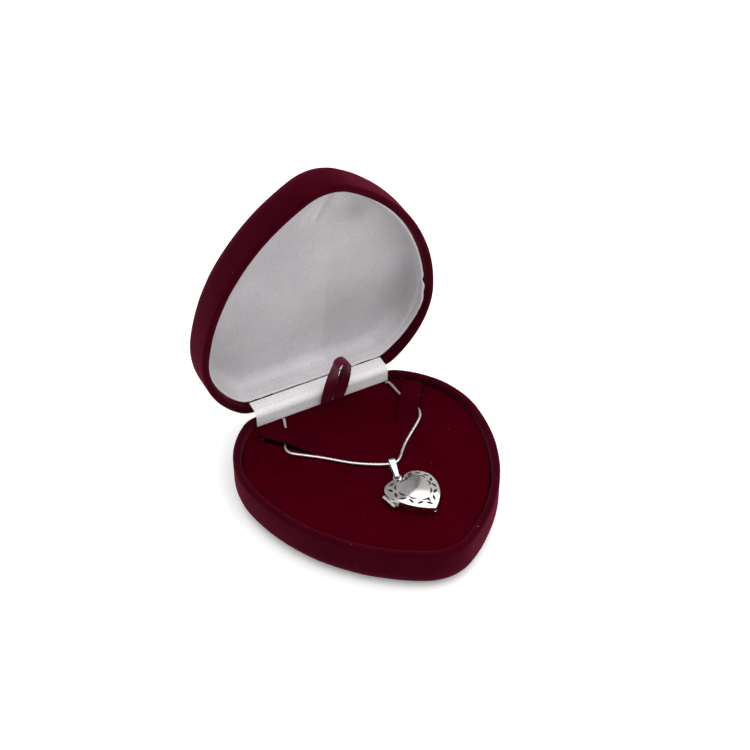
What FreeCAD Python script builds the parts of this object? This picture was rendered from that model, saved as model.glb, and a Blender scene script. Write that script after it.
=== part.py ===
"""Heart-shaped velvet necklace box with a hinged lid and a locket on a snake chain laid out inside.

Millimetres, +Z up, +X to the right, hinge at the back (+Y). The origin is the centre of the base's
underside, half way between the tip and the back face. The lid is modelled closed and then turned open.
"""
import FreeCAD, Part
import math
import os
from FreeCAD import Vector

os.makedirs("parts", exist_ok=True)

# Driving dimensions of the box outline, a rounded heart with a straight hinge side
BACK_FLAT_HALF = 27.6
CORNER_RADIUS = 10.0
CORNER_ANGLE = 37.8
LOBE_RADIUS = 38.4
LOBE_END_ANGLE = 94.9
SIDE_RADIUS = 76.0
TIP_RADIUS = 19.8

# Box heights, walls and edges
BASE_HEIGHT = 16.3
LID_HEIGHT = 16.3
SEAM_GAP = 0.2
SHELL_WALL = 1.6
VELVET = 0.7
EDGE_ROUND = 6.9
RIM_ROUND = 1.2
TUCK_DEPTH = 7.0
FLOOR_PAPER = 0.4
LID_OPEN_ANGLE = 82.6

# Hinge across the back
HINGE_OUTSET = 0.6
HINGE_LENGTH = 36.0
BARREL_RADIUS = 1.1
PIN_RADIUS = 0.5
LEAF = 0.4
LEAF_DROP = 5.0
KNUCKLE_GAP = 0.2
PIN_PLAY = 0.05
BARREL_ROOM = 0.2
RIVET_RADIUS = 0.6
RIVET_SPACING = 12.0

# Satin strip over the hinge
STRIP_WIDTH = 57.0
STRIP = 0.4
STRIP_BEND = 3.0
STRIP_REACH = 3.2
STRIP_PLAY = 0.08

# Satin lining of the lid
LINING = 1.0
LINING_SET_DOWN = 3.4
LINING_BEND = 5.5
LINING_PLAY = 0.1

# Velvet-faced insert that carries the necklace
PAD_SET_DOWN = 2.5
PAD_CARD = 1.2
PAD_VELVET = 0.8
PAD_PLAY = 0.45
PAD_EDGE_ROUND = 0.5
COLLAR_INSET = 7.2
COLLAR = 1.2
COLLAR_NOTCH = 2.6
COLLAR_NOTCH_DEPTH = 7.6
NOTCH_LEFT_X = -18.2
NOTCH_RIGHT_X = 26.5
NOTCH_WIDTH = 2.2
NOTCH_DEPTH = 2.6

# Tongues cut in the insert, measured from the back face of the box
FLAP_LENGTH = 23.0
FLAP_WIDTH = 7.8
FLAP = 0.6
FLAP_CORNER = 3.4
FLAP_SLIT = 0.6
FLAP_FOLD_PLAY = 0.06
FLAP_ROOT_ANGLE = 17.0
FLAP_END_ANGLE = -7.0
FLAP_LEFT_ROOT = (-14.4, -25.4)
FLAP_LEFT_ANGLE = 130.0
FLAP_RIGHT_ROOT = (21.5, -28.7)
FLAP_RIGHT_ANGLE = 51.9

# Ribbon pull at the back of the insert
RIBBON_X = 2.7
RIBBON_SPREAD = 6.2
RIBBON_HEIGHT = 20.5
RIBBON_CROWN = 2.6
RIBBON_PINCH = 1.8
RIBBON_LEAN_X = 3.2
RIBBON_LEAN_Y = -2.75
RIBBON_CROWN_SHARE = 0.2
RIBBON_STEPS = 10
RIBBON_WIDTH = 4.6
RIBBON = 0.5
RIBBON_FROM_EDGE = 1.2
RIBBON_SEAM_RADIUS = 0.4
RIBBON_PLAY = 0.3

# Snake chain
CHAIN_DIAMETER = 1.2
COIL_TURNS_PER_LAYER = 3.0
COIL_INNER_RADIUS = 3.6
COIL_SPACING = 1.95
COIL_CENTRE = (-19.4, -34.0)
COIL_LEAD = 5.0
CHAIN_REST_GAP = 0.05
ARC_SHARE = 0.45

# End caps, spring ring clasp and its ring
CAP_WALL = 0.25
CAP_LENGTH = 3.0
CLASP_RADIUS = 2.4
CLASP_TUBE = 0.7
CLASP_BORE = 0.45
CLASP_BOLT = 0.4
CLASP_GAP_ANGLE = 60.0
CLASP_BOLT_ANGLE = 110.0
CLASP_TRAVEL_ANGLE = 60.0
CLASP_NUB = 0.3
CLASP_NUB_REACH = 1.4
CLASP_NUB_ANGLE = 20.0
CLASP_SLOT_ANGLE = 24.0
CLASP_SHUT_ANGLE = 10.0
END_RING_RADIUS = 1.3
END_RING_WIRE = 0.35

# Bail, jump ring and eye
BAIL_X = 3.8
BAIL_FROM_BACK = -48.4
BAIL_ANGLE = 15.0
BAIL_TOP_RADIUS = 1.3
BAIL_FOOT_RADIUS = 0.6
BAIL_SPAN = 6.4
BAIL = 0.5
BAIL_TOP_WIDTH = 2.6
BAIL_FOOT_WIDTH = 1.3
RING_RADIUS = 1.35
RING_WIRE = 0.35
RING_SLACK = 0.4
EYE_RADIUS = 1.1
EYE_WIRE = 0.35
EYE_STEM = 0.9
EYE_STEM_ANGLE = 30.0
EYE_SLACK = 0.12

# Locket
LOCKET_ANGLE = -8.0
LOBE_CENTRE_X = 4.4
LOBE_CENTRE_Y = 3.6
LOCKET_LOBE = 5.2
LOCKET_TIP = -12.0
LOCKET_CORNER = 0.4
BACK_HALF = 1.3
FRONT_RIM = 0.9
DOME_RADIUS = 32.0
DOME_Y = -1.5
LOCKET_SEAM = 0.15
LOCKET_WALL = 0.45
LOCKET_EDGE = 0.5
RIM_EDGE = 0.3
RECESS_SHARE = 0.90
BACKING = 0.25
BACKING_PLAY = 0.01
FRAME = 0.3
FRAME_SHARE = 0.84
FRAME_WINDOW_SHARE = 0.66
LOCKET_PLAY = 0.05
LEAF_SHARE = 0.80
LEAF_COUNT = 16
LEAF_LONG = 2.6
LEAF_WIDE = 1.0
LEAF_LEAN_ANGLE = 30.0
CRESCENT_SHARE = 0.58
CRESCENT_COUNT = 9
CRESCENT_LONG = 3.3
CRESCENT_RISE = 0.7
CRESCENT_WIDE = 0.7
KITE_Y = -8.3
KITE_LONG = 2.0
KITE_WIDE = 1.5
LOCKET_HINGE_X = -10.2
LOCKET_HINGE_LOW = -1.8
LOCKET_HINGE_HIGH = 4.8
LOCKET_BARREL = 0.75
LOCKET_PIN = 0.32
KNUCKLE_TAB = 1.5
KNUCKLE_TAB_HIGH = 0.6
KNUCKLE_PLAY = 0.1

# Values worked out from the driving dimensions
WALL = SHELL_WALL + 2 * VELVET
FLOOR = VELVET + SHELL_WALL
SEAM_Z = BASE_HEIGHT + SEAM_GAP / 2
PAD_Z = SEAM_Z - PAD_SET_DOWN
PAD_INSET = WALL + PAD_PLAY
CHAIN_RADIUS = CHAIN_DIAMETER / 2
X_AXIS = Vector(1, 0, 0)
Y_AXIS = Vector(0, 1, 0)
Z_AXIS = Vector(0, 0, 1)


def turned(angle):
    """Unit direction that lies 'angle' degrees clockwise from +Y."""
    return Vector(math.sin(math.radians(angle)), math.cos(math.radians(angle)), 0)


# Arc centres of the outline, measured from the middle of the back face
CORNER_CENTRE = Vector(BACK_FLAT_HALF, -CORNER_RADIUS, 0)
LOBE_CENTRE = CORNER_CENTRE - turned(CORNER_ANGLE) * (LOBE_RADIUS - CORNER_RADIUS)
SIDE_CENTRE = LOBE_CENTRE - turned(LOBE_END_ANGLE) * (SIDE_RADIUS - LOBE_RADIUS)
SIDE_END_ANGLE = 180 - math.degrees(math.asin(-SIDE_CENTRE.x / (SIDE_RADIUS - TIP_RADIUS)))
TIP_CENTRE = SIDE_CENTRE + turned(SIDE_END_ANGLE) * (SIDE_RADIUS - TIP_RADIUS)
BACK = (TIP_RADIUS - TIP_CENTRE.y) / 2
HINGE_Y = BACK + HINGE_OUTSET
HINGE = Vector(0, HINGE_Y, SEAM_Z)


def placed(x, from_back, z=0.0):
    """A point given by its distance from the back face of the box."""
    return Vector(x, BACK + from_back, z)


def arc(first, middle, last):
    return Part.Arc(first, middle, last).toShape()


def line(first, last):
    return Part.LineSegment(first, last).toShape()


def mirrored(point):
    return Vector(-point.x, point.y, point.z)


def box_outline(inset, z):
    """Closed outline of the box, moved inwards by 'inset'."""
    lift = Vector(0, BACK, z)
    spans = [
        (CORNER_CENTRE, CORNER_RADIUS, 0.0, CORNER_ANGLE),
        (LOBE_CENTRE, LOBE_RADIUS, CORNER_ANGLE, LOBE_END_ANGLE),
        (SIDE_CENTRE, SIDE_RADIUS, LOBE_END_ANGLE, SIDE_END_ANGLE),
    ]
    right = []
    for centre, radius, start, end in spans:
        at = [lift + centre + turned(a) * (radius - inset) for a in (start, (start + end) / 2, end)]
        right.append(at)
    tip = lift + TIP_CENTRE + turned(180) * (TIP_RADIUS - inset)
    edges = [line(mirrored(right[0][0]), right[0][0])]
    edges += [arc(*at) for at in right]
    edges.append(arc(right[-1][2], tip, mirrored(right[-1][2])))
    for first, middle, last in reversed(right):
        edges.append(arc(mirrored(last), mirrored(middle), mirrored(first)))
    return Part.Wire(edges)


def prism(inset, low, high):
    return Part.Face(box_outline(inset, low)).extrude(Vector(0, 0, high - low))


def level_edges(shape, z):
    return [e for e in shape.Edges if abs(e.BoundBox.ZMin - z) < 1e-4 and abs(e.BoundBox.ZMax - z) < 1e-4]


def rounded_prism(inset, low, high, bottom_round, top_round=0.0):
    solid = prism(inset, low, high)
    solid = solid.makeFillet(bottom_round, level_edges(solid, low))
    if top_round:
        solid = solid.makeFillet(top_round, level_edges(solid, high))
    return solid


def block(x0, x1, y0, y1, z0, z1):
    return Part.makeBox(x1 - x0, y1 - y0, z1 - z0, Vector(x0, y0, z0))


def across(radius, x0, x1, y, z):
    """A cylinder that lies along X."""
    return Part.makeCylinder(radius, x1 - x0, Vector(x0, y, z), X_AXIS)


def hinge_relief(height):
    """Room in the rim for the flange, the barrel, the leaf and the strip of one half."""
    half = HINGE_LENGTH / 2 + BARREL_ROOM
    strip_half = STRIP_WIDTH / 2 + BARREL_ROOM
    rebate = block(-half, half, BACK - WALL - 1, BACK + 1, height - LEAF - PIN_PLAY, height + 1)
    barrel = across(BARREL_RADIUS + BARREL_ROOM, -half, half, HINGE_Y, height + SEAM_GAP / 2)
    pocket = block(-strip_half, strip_half, BACK - WALL - 1, BACK - FLOOR, FLOOR, height + 1)
    return rebate.fuse([barrel, pocket])


def dish(height):
    """Board shell and velvet cover of one half of the box, opening upwards."""
    whole = rounded_prism(0, 0, height, EDGE_ROUND, RIM_ROUND)
    tuck = height - TUCK_DEPTH
    well = rounded_prism(FLOOR, FLOOR, tuck, EDGE_ROUND - FLOOR)
    whole = whole.cut(prism(WALL, tuck - 1, height + 1))
    mouth = box_outline(WALL, height)
    inner_rim = [e for e in level_edges(whole, height) if e.distToShape(mouth)[0] < 1e-3]
    whole = whole.makeFillet(RIM_ROUND, inner_rim).cut(well)
    shell = rounded_prism(VELVET, VELVET, height - VELVET, EDGE_ROUND - VELVET)
    core = rounded_prism(FLOOR, FLOOR, height + 1, EDGE_ROUND - FLOOR)
    shell = shell.cut(core)
    relief = hinge_relief(height)
    cover = whole.cut(shell).cut(relief)
    return shell.cut(relief).cut(rivets(height)), cover


def hinge_leaf(knuckles, height):
    """Stamped leaf: plate on the inner face, flange over the rim and knuckles on the axis."""
    half = HINGE_LENGTH / 2
    inner = BACK - FLOOR
    plate = block(-half, half, inner - LEAF, inner, height - LEAF_DROP, height)
    flange = block(-half, half, inner - LEAF, BACK - BARREL_RADIUS + HINGE_OUTSET - BARREL_ROOM,
                   height - LEAF, height)
    leaf = plate.fuse(flange)
    for x0, x1 in knuckles:
        tab = block(x0, x1, inner - LEAF, HINGE_Y, height - LEAF, height)
        barrel = across(BARREL_RADIUS, x0, x1, HINGE_Y, height + SEAM_GAP / 2)
        leaf = leaf.fuse([tab, barrel])
    bore = across(PIN_RADIUS + PIN_PLAY, -half - 1, half + 1, HINGE_Y, height + SEAM_GAP / 2)
    holes = [rivet_shank(x, height) for x in rivet_places()]
    return leaf.removeSplitter().cut(bore).cut(holes[0].fuse(holes[1:]))


def rivet_places():
    return [-RIVET_SPACING, 0.0, RIVET_SPACING]


def rivet_shank(x, height):
    z = height - LEAF_DROP / 2 - LEAF / 2
    return Part.makeCylinder(RIVET_RADIUS, LEAF + SHELL_WALL, Vector(x, BACK - FLOOR - LEAF, z), Y_AXIS)


def rivets(height):
    return Part.Compound([rivet_shank(x, height) for x in rivet_places()])


def as_lid(shape):
    """Turn a half modelled opening upwards over onto the base, then swing it open."""
    over = shape.mirror(Vector(0, 0, SEAM_Z), Z_AXIS)
    over.rotate(HINGE, X_AXIS, -LID_OPEN_ANGLE)
    return over


def raised_to_seam(shape, height):
    moved = shape.copy()
    moved.translate(Vector(0, 0, BASE_HEIGHT - height))
    return moved


def knuckle_rows():
    """Five knuckles along the axis: three of the base and two of the lid."""
    pitch = HINGE_LENGTH / 5
    start = -HINGE_LENGTH / 2
    gap = KNUCKLE_GAP / 2
    rows = [(start + i * pitch + gap, start + (i + 1) * pitch - gap) for i in range(5)]
    return rows[0::2], rows[1::2]


def hinge_strip():
    """Satin strip that runs up the base, over the hinge and onto the lid."""
    reach_back = HINGE_OUTSET + FLOOR + LEAF + STRIP_PLAY
    reach_face = reach_back + STRIP
    half_turn = math.radians(LID_OPEN_ANGLE / 2)
    corner_z = SEAM_Z + reach_face * math.tan(half_turn)
    start_z = corner_z - STRIP_BEND * math.tan(half_turn)
    centre = Vector(0, HINGE_Y - reach_face + STRIP_BEND, start_z)
    foot = SEAM_Z - STRIP_REACH
    open_turn = math.radians(LID_OPEN_ANGLE)
    along = Vector(0, math.sin(open_turn), math.cos(open_turn))

    def side(radius):
        first = centre + Vector(0, -radius, 0)
        middle = centre + Vector(0, -math.cos(half_turn), math.sin(half_turn)) * radius
        last = centre + Vector(0, -math.cos(open_turn), math.sin(open_turn)) * radius
        run = start_z - foot
        return Vector(0, first.y, foot), first, middle, last, last + along * run

    face = side(STRIP_BEND)
    rear = side(STRIP_BEND - STRIP)
    edges = [line(face[0], face[1]), arc(*face[1:4]), line(face[3], face[4]), line(face[4], rear[4])]
    edges += [line(rear[4], rear[3]), arc(rear[3], rear[2], rear[1]), line(rear[1], rear[0])]
    edges.append(line(rear[0], face[0]))
    strip = Part.Face(Part.Wire(edges)).extrude(Vector(STRIP_WIDTH, 0, 0))
    strip.translate(Vector(-STRIP_WIDTH / 2, 0, 0))
    return strip


def lid_lining():
    """Satin-covered liner: a shallow dish inside the lid."""
    top = LID_HEIGHT - LINING_SET_DOWN
    low = FLOOR + LINING_PLAY
    inset = WALL + LINING_PLAY
    outer = rounded_prism(inset, low, top, LINING_BEND)
    inner = rounded_prism(inset + LINING, low + LINING, top + 1, LINING_BEND - LINING)
    return outer.cut(inner)


def flap_frame(root, heading):
    """Turn from flap axes (X along the tongue) to the box, at the fold line."""
    spin = FreeCAD.Rotation(Z_AXIS, heading)
    return FreeCAD.Placement(placed(root[0], root[1], PAD_Z), spin)


def flap(root, heading):
    """Tongue of velvet-faced card, bowed over the chain, with a rounded free end and a round fold."""
    half = FLAP_WIDTH / 2
    first = math.radians(FLAP_ROOT_ANGLE)
    last = math.radians(FLAP_END_ANGLE)
    bow = FLAP_LENGTH / (first - last)
    centre = Vector(bow * math.sin(first), -half, -FLAP / 2 - bow * math.cos(first))

    def face(radius):
        steps = (first, (first + last) / 2, last)
        return [centre + Vector(-math.sin(a), 0, math.cos(a)) * radius for a in steps]

    over = face(bow + FLAP / 2)
    under = face(bow - FLAP / 2)
    edges = [arc(*over), line(over[2], under[2]), arc(*under), line(under[0], over[0])]
    plate = Part.Face(Part.Wire(Part.__sortEdges__(edges))).extrude(Vector(0, FLAP_WIDTH, 0))
    ends = [e for e in plate.Edges if e.Length < 1.1 * FLAP and e.CenterOfMass.x > FLAP_LENGTH / 2]
    plate = plate.makeFillet(FLAP_CORNER, ends)
    fold = Part.makeCylinder(FLAP / 2, FLAP_WIDTH, Vector(0, -half, -FLAP / 2), Y_AXIS)
    tongue = plate.fuse(fold).removeSplitter()
    tongue.Placement = flap_frame(root, heading).multiply(tongue.Placement)
    return tongue


def flap_window(root, heading):
    """Opening round a tongue, with a round seat for its fold."""
    half = FLAP_WIDTH / 2
    seat_radius = FLAP / 2 + FLAP_FOLD_PLAY
    deep = PAD_CARD + PAD_VELVET
    far = FLAP_LENGTH + FLAP_SLIT
    window = block(0, far, -half - FLAP_SLIT, half + FLAP_SLIT, -deep - 1, 1)
    ends = [e for e in window.Edges if e.BoundBox.XMin > far - 1e-4 and e.BoundBox.ZLength > deep]
    window = window.makeFillet(FLAP_CORNER + FLAP_SLIT, ends)
    corner = Vector(0, -half - FLAP_SLIT, -FLAP / 2)
    seat = Part.makeCylinder(seat_radius, 2 * (half + FLAP_SLIT), corner, Y_AXIS)
    above = block(-seat_radius, 0, -half - FLAP_SLIT, half + FLAP_SLIT, -FLAP / 2, 1)
    window = window.fuse([seat, above])
    window.Placement = flap_frame(root, heading)
    return window


RIBBON_FOLD = placed(RIBBON_X, -PAD_INSET - RIBBON_FROM_EDGE, PAD_Z + RIBBON_PLAY + RIBBON_SEAM_RADIUS)


def ribbon_pull():
    """Satin ribbon loop: flat at its two sewn feet, turned a quarter round on its way to the crown."""
    reach = RIBBON_SPREAD / 2
    crown = RIBBON_HEIGHT - RIBBON_CROWN
    sections = []
    for i in range(2 * RIBBON_STEPS + 1):
        share = i / RIBBON_STEPS - 1
        side = 1 if share > 0 else -1
        drop = max(abs(share) - RIBBON_CROWN_SHARE, 0) / (1 - RIBBON_CROWN_SHARE)
        bend = min(abs(share) / RIBBON_CROWN_SHARE, 1) * math.radians(90)
        pinch = RIBBON_PINCH * 4 * drop ** 2 * (1 - drop)
        foot_x = RIBBON_CROWN + (reach - RIBBON_CROWN) * drop ** 2 - pinch
        at = Vector(side * foot_x * math.sin(bend), 0, crown * (1 - drop) + RIBBON_CROWN * math.cos(bend))
        at += Vector(RIBBON_LEAN_X, RIBBON_LEAN_Y, 0) * (1 - drop)
        lean = math.radians(90) - bend
        out = Vector(side * math.cos(lean), 0, math.sin(lean))
        twist = math.radians(90) * (1 - drop ** 2)
        wide = (Y_AXIS * side * math.sin(twist) - out * math.cos(twist)) * side
        run = Vector(side * math.sin(lean), 0, -math.cos(lean)) * side
        thin = wide.cross(run).normalize() * (RIBBON / 2)
        wide = wide.normalize() * (RIBBON_WIDTH / 2)
        corners = [at + wide + thin, at - wide + thin, at - wide - thin, at + wide - thin]
        sections.append(Part.makePolygon(corners + corners[:1]))
    band = Part.makeLoft(sections, True, False)
    band.translate(Vector(RIBBON_FOLD.x, RIBBON_FOLD.y, RIBBON_FOLD.z))
    half = reach + RIBBON_WIDTH / 2
    seam = across(RIBBON_SEAM_RADIUS, RIBBON_X - half, RIBBON_X + half, RIBBON_FOLD.y, RIBBON_FOLD.z)
    return band.fuse(seam)


# Route of the chain over the insert: x, distance from the back face, height above the velvet
CHAIN_ROUTE = [
    (-9.6, -24.5, -8.0), (-10.4, -19.0, -6.8), (-14.0, -13.0, -5.8), (-17.6, -8.0, -5.2),
    (-18.1, -5.2, -3.2), (-18.2, -4.6, -0.8), (-18.5, -5.6, 1.1), (-19.3, -8.0, 0.8),
    (-20.3, -10.6, 0.75), (-21.5, -13.2, 0.62), (-23.8, -17.2, 0.62), (-25.9, -20.8, 0.74),
    (-25.6, -23.9, 0.72), (-22.0, -27.0, 0.7), (-15.6, -32.4, 0.68), (-7.8, -40.6, 0.7),
    (1.3, -47.7, 1.6), (6.4, -49.1, 1.6), (13.0, -41.2, 0.7), (19.8, -35.8, 0.7),
    (27.2, -30.8, 0.7), (29.9, -27.2, 0.66), (30.5, -22.4, 0.62), (28.8, -17.4, 0.62),
    (27.2, -13.2, 0.66), (27.4, -9.4, 0.75), (27.0, -5.8, 1.1), (26.5, -4.6, -0.8),
    (26.3, -5.2, -3.2), (25.2, -8.0, -5.2), (22.4, -12.4, -6.6), (18.4, -16.6, -8.4),
    (13.6, -21.0, -9.7), (9.4, -25.4, -10.2), (6.0, -29.6, -10.28),
]


def chain_points():
    """The route, led straight out of the upper end of the coil."""
    coil_end = coil_points()[-1]
    return [coil_end, coil_end + Y_AXIS * COIL_LEAD] + [placed(x, y, PAD_Z + z) for x, y, z in CHAIN_ROUTE]


def routed_wire(points):
    """Straight runs joined by tangent arcs, each as large as its two runs allow."""
    edges = []
    radii = []
    start = points[0]
    for before, at, after in zip(points, points[1:], points[2:]):
        run_in = (at - before)
        run_out = (after - at)
        shorter = min(run_in.Length, run_out.Length)
        turn = run_in.getAngle(run_out)
        trim = ARC_SHARE * shorter
        into = Vector(run_in).normalize()
        out = Vector(run_out).normalize()
        radius = trim / math.tan(turn / 2)
        first = at - into * trim
        last = at + out * trim
        inwards = Vector(out - into).normalize()
        middle = at + inwards * (radius / math.cos(turn / 2) - radius)
        edges.append(line(start, first))
        edges.append(arc(first, middle, last))
        radii.append(radius)
        start = last
    edges.append(line(start, points[-1]))
    return Part.Wire(edges), radii


def tube(path, radius):
    start = path.Edges[0].Vertexes[0].Point
    heading = path.Edges[0].tangentAt(path.Edges[0].FirstParameter)
    profile = Part.Wire(Part.makeCircle(radius, start, heading))
    return path.makePipeShell([profile], True, False)


def coil_points():
    """Two layers of loops: in along the lower layer, up in the middle, and out along the upper one."""
    steps = int(COIL_TURNS_PER_LAYER * 4)
    low = FLOOR + FLOOR_PAPER + CHAIN_RADIUS + CAP_WALL + CHAIN_REST_GAP
    last = 2 * steps + 2
    points = []
    for i in range(last + 1):
        rise = min(max(i - steps, 0), 2) / 2
        from_climb = max(steps - i, i - steps - 2, 0)
        radius = COIL_INNER_RADIUS + COIL_SPACING * from_climb / 4
        swing = (i - last) * math.pi / 2
        centre = placed(COIL_CENTRE[0], COIL_CENTRE[1], low + rise * COIL_SPACING)
        points.append(centre + Vector(math.cos(swing), math.sin(swing), 0) * radius)
    return points


def biarc_wire(points):
    """Smooth wire through the points: a straight lead, then two arcs on each span with shared tangents."""
    tangents = []
    for i, at in enumerate(points):
        before = points[max(i - 1, 0)]
        after = points[min(i + 1, len(points) - 1)]
        tangents.append(Vector(after - before).normalize())
    tangents[0] = Y_AXIS * -1
    tangents[-1] = Y_AXIS
    edges = [line(points[0] + Y_AXIS * COIL_LEAD, points[0])]
    for (a, ta), (b, tb) in zip(zip(points, tangents), zip(points[1:], tangents[1:])):
        chord = b - a
        both = ta + tb
        linear = chord.dot(both)
        square = 2 * (1 - ta.dot(tb))
        if square < 1e-9:
            edges.append(line(a, b))
            continue
        reach = (-linear + math.sqrt(linear ** 2 + 2 * square * chord.dot(chord) / 2)) / square
        join = (a + b + (ta - tb) * reach) * 0.5
        for p, q, tangent in ((a, join, ta), (join, b, None)):
            if tangent is None:
                tangent = Vector(join - a - ta * reach).normalize()
            edges.append(tangent_arc(p, q, tangent))
    return Part.Wire(edges)


def tangent_arc(first, last, tangent):
    chord = last - first
    side = Vector(tangent - chord * (tangent.dot(chord) / chord.dot(chord)))
    if side.Length < 1e-7:
        return line(first, last)
    half = tangent.getAngle(chord)
    sag = chord.Length / 2 * math.tan(half / 2)
    middle = (first + last) * 0.5 + side.normalize() * sag
    return arc(first, middle, last)


def least_self_gap(wire, diameter):
    """Least gap between stretches of a wound tube that aren't neighbours along it."""
    step = diameter / 2
    points = wire.discretize(Distance=step)
    skip = int(2.5 * diameter / step) + 1
    least = min((a - b).Length for i, a in enumerate(points) for b in points[i + skip:])
    return least - diameter


def frame_at(origin, heading):
    """Local axes on the velvet: Y along the heading, turned clockwise from +Y."""
    return FreeCAD.Placement(origin, FreeCAD.Rotation(Z_AXIS, -heading))


def set_down(shape, placement):
    shape.Placement = placement.multiply(shape.Placement)
    return shape


def torus(centre, axis, ring, wire):
    return Part.makeTorus(ring, wire, centre, axis)


# Levels of the pendant above the velvet
BAIL_Z = BAIL_TOP_RADIUS + BAIL + LOCKET_PLAY
EYE_Z = EYE_RADIUS + EYE_WIRE + LOCKET_PLAY
RING_Z = EYE_Z - EYE_SLACK
RING_Y = -BAIL_SPAN - BAIL_FOOT_RADIUS + RING_WIRE + RING_SLACK - RING_RADIUS
BAIL_PLACE = frame_at(placed(BAIL_X, BAIL_FROM_BACK, PAD_Z), BAIL_ANGLE)
RING_CENTRE = BAIL_PLACE.multVec(Vector(0, RING_Y, 0))
EYE_Y = -RING_RADIUS - EYE_SLACK
CLEFT_Y = LOBE_CENTRE_Y + math.sqrt(LOCKET_LOBE ** 2 - LOBE_CENTRE_X ** 2)
LOCKET_Y = EYE_Y - EYE_RADIUS - EYE_STEM - CLEFT_Y
LOCKET_SHIFT = FreeCAD.Placement(Vector(0, LOCKET_Y, 0), FreeCAD.Rotation())
LOCKET_PLACE = frame_at(RING_CENTRE, LOCKET_ANGLE).multiply(LOCKET_SHIFT)
LOCKET_HALF = LOBE_CENTRE_X + LOCKET_LOBE
LOCKET_SIDE = LOCKET_HALF / 2 + (LOBE_CENTRE_Y - LOCKET_TIP) ** 2 / (2 * LOCKET_HALF)


def bail():
    """Tapered bail: a drop-shaped band, wide over the chain and narrow at the ring."""

    def drop(grow):
        top = BAIL_TOP_RADIUS + grow
        foot = BAIL_FOOT_RADIUS + grow
        lean = math.asin((top - foot) / BAIL_SPAN)
        up = Vector(0, -math.sin(lean), math.cos(lean))
        down = Vector(0, -math.sin(lean), -math.cos(lean))
        head = Vector(0, 0, BAIL_Z)
        heel = Vector(0, -BAIL_SPAN, RING_Z)
        edges = [arc(head + up * top, head + Vector(0, top, 0), head + down * top),
                 line(head + down * top, heel + down * foot),
                 arc(heel + down * foot, heel + Vector(0, -foot, 0), heel + up * foot),
                 line(heel + up * foot, head + up * top)]
        face = Part.Face(Part.Wire(edges))
        return face.extrude(Vector(BAIL_TOP_WIDTH, 0, 0))

    band = drop(BAIL).cut(drop(0))
    band.translate(Vector(-BAIL_TOP_WIDTH / 2, 0, 0))
    top_y = BAIL_TOP_RADIUS + BAIL
    foot_y = -BAIL_SPAN - BAIL_FOOT_RADIUS - BAIL
    wide = BAIL_TOP_WIDTH / 2
    slim = BAIL_FOOT_WIDTH / 2
    corners = [(-wide, top_y), (wide, top_y), (slim, foot_y), (-slim, foot_y)]
    plan = Part.makePolygon([Vector(x, y, -1) for x, y in corners + corners[:1]])
    taper = Part.Face(plan).extrude(Vector(0, 0, BAIL_Z + top_y + 2))
    return set_down(band.common(taper), BAIL_PLACE)


def heart_face(share, z):
    """Heart of the locket, drawn in about its middle by 'share'."""
    def at(x, y):
        return Vector(x * share, y * share, z)

    side_x = LOCKET_HALF
    mid_turn = math.radians(45)
    lobe_x = LOBE_CENTRE_X + LOCKET_LOBE * math.cos(mid_turn)
    lobe_y = LOBE_CENTRE_Y + LOCKET_LOBE * math.sin(mid_turn)
    low_turn = math.atan2(LOCKET_TIP - LOBE_CENTRE_Y, LOCKET_SIDE - side_x) / 2
    edges = []
    for sign in (1, -1):
        reach = side_x - LOCKET_SIDE
        low = (reach + LOCKET_SIDE * math.cos(low_turn), LOBE_CENTRE_Y + LOCKET_SIDE * math.sin(low_turn))
        lobe = arc(at(0, CLEFT_Y), at(sign * lobe_x, lobe_y), at(sign * side_x, LOBE_CENTRE_Y))
        flank = arc(at(sign * side_x, LOBE_CENTRE_Y), at(sign * low[0], low[1]), at(0, LOCKET_TIP))
        edges += [lobe, flank]
    return Part.Face(Part.Wire(Part.__sortEdges__(edges)))


def heart_prism(share, low, high):
    return heart_face(share, low).extrude(Vector(0, 0, high - low))


def heart_body(low, high):
    """Full heart with its tip and its cleft rounded."""
    solid = heart_prism(1.0, low, high)
    corners = [e for e in solid.Edges if max(abs(e.BoundBox.XMin), abs(e.BoundBox.XMax)) < 1e-4]
    return solid.makeFillet(LOCKET_CORNER, corners)


FRONT_LOW = LOCKET_PLAY + BACK_HALF + LOCKET_SEAM
HINGE_LEVEL = FRONT_LOW - LOCKET_SEAM / 2


def dome_sag(across_dome, radius):
    """How far a dome of that radius has fallen at a distance from its middle."""
    return radius - math.sqrt(radius ** 2 - across_dome ** 2)


def farthest(share):
    """Greatest distance of a heart's outline from the middle of the dome."""
    middle = Vector(0, DOME_Y, 0)
    return max((p - middle).Length for p in heart_face(share, 0).OuterWire.discretize(Number=200))


FRONT_HIGH = FRONT_LOW + FRONT_RIM + dome_sag(farthest(1.0), DOME_RADIUS)


def dome(inwards):
    """Ball whose top is the front of the locket, drawn in by 'inwards'."""
    ball = Part.makeSphere(DOME_RADIUS - inwards)
    ball.rotate(Vector(), Y_AXIS, 90)
    ball.translate(Vector(0, DOME_Y, FRONT_HIGH - DOME_RADIUS))
    return ball


def sickle(long, rise, wide, low, high):
    """Opening between two arcs along X; with no rise it is a pointed leaf."""
    left = Vector(-long / 2, 0, low)
    right = Vector(long / 2, 0, low)
    over = Vector(0, rise + wide / 2, low)
    under = Vector(0, rise - wide / 2, low)
    outline = [arc(left, over, right), arc(right, under, left)]
    return Part.Face(Part.Wire(outline)).extrude(Vector(0, 0, high - low))


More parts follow.
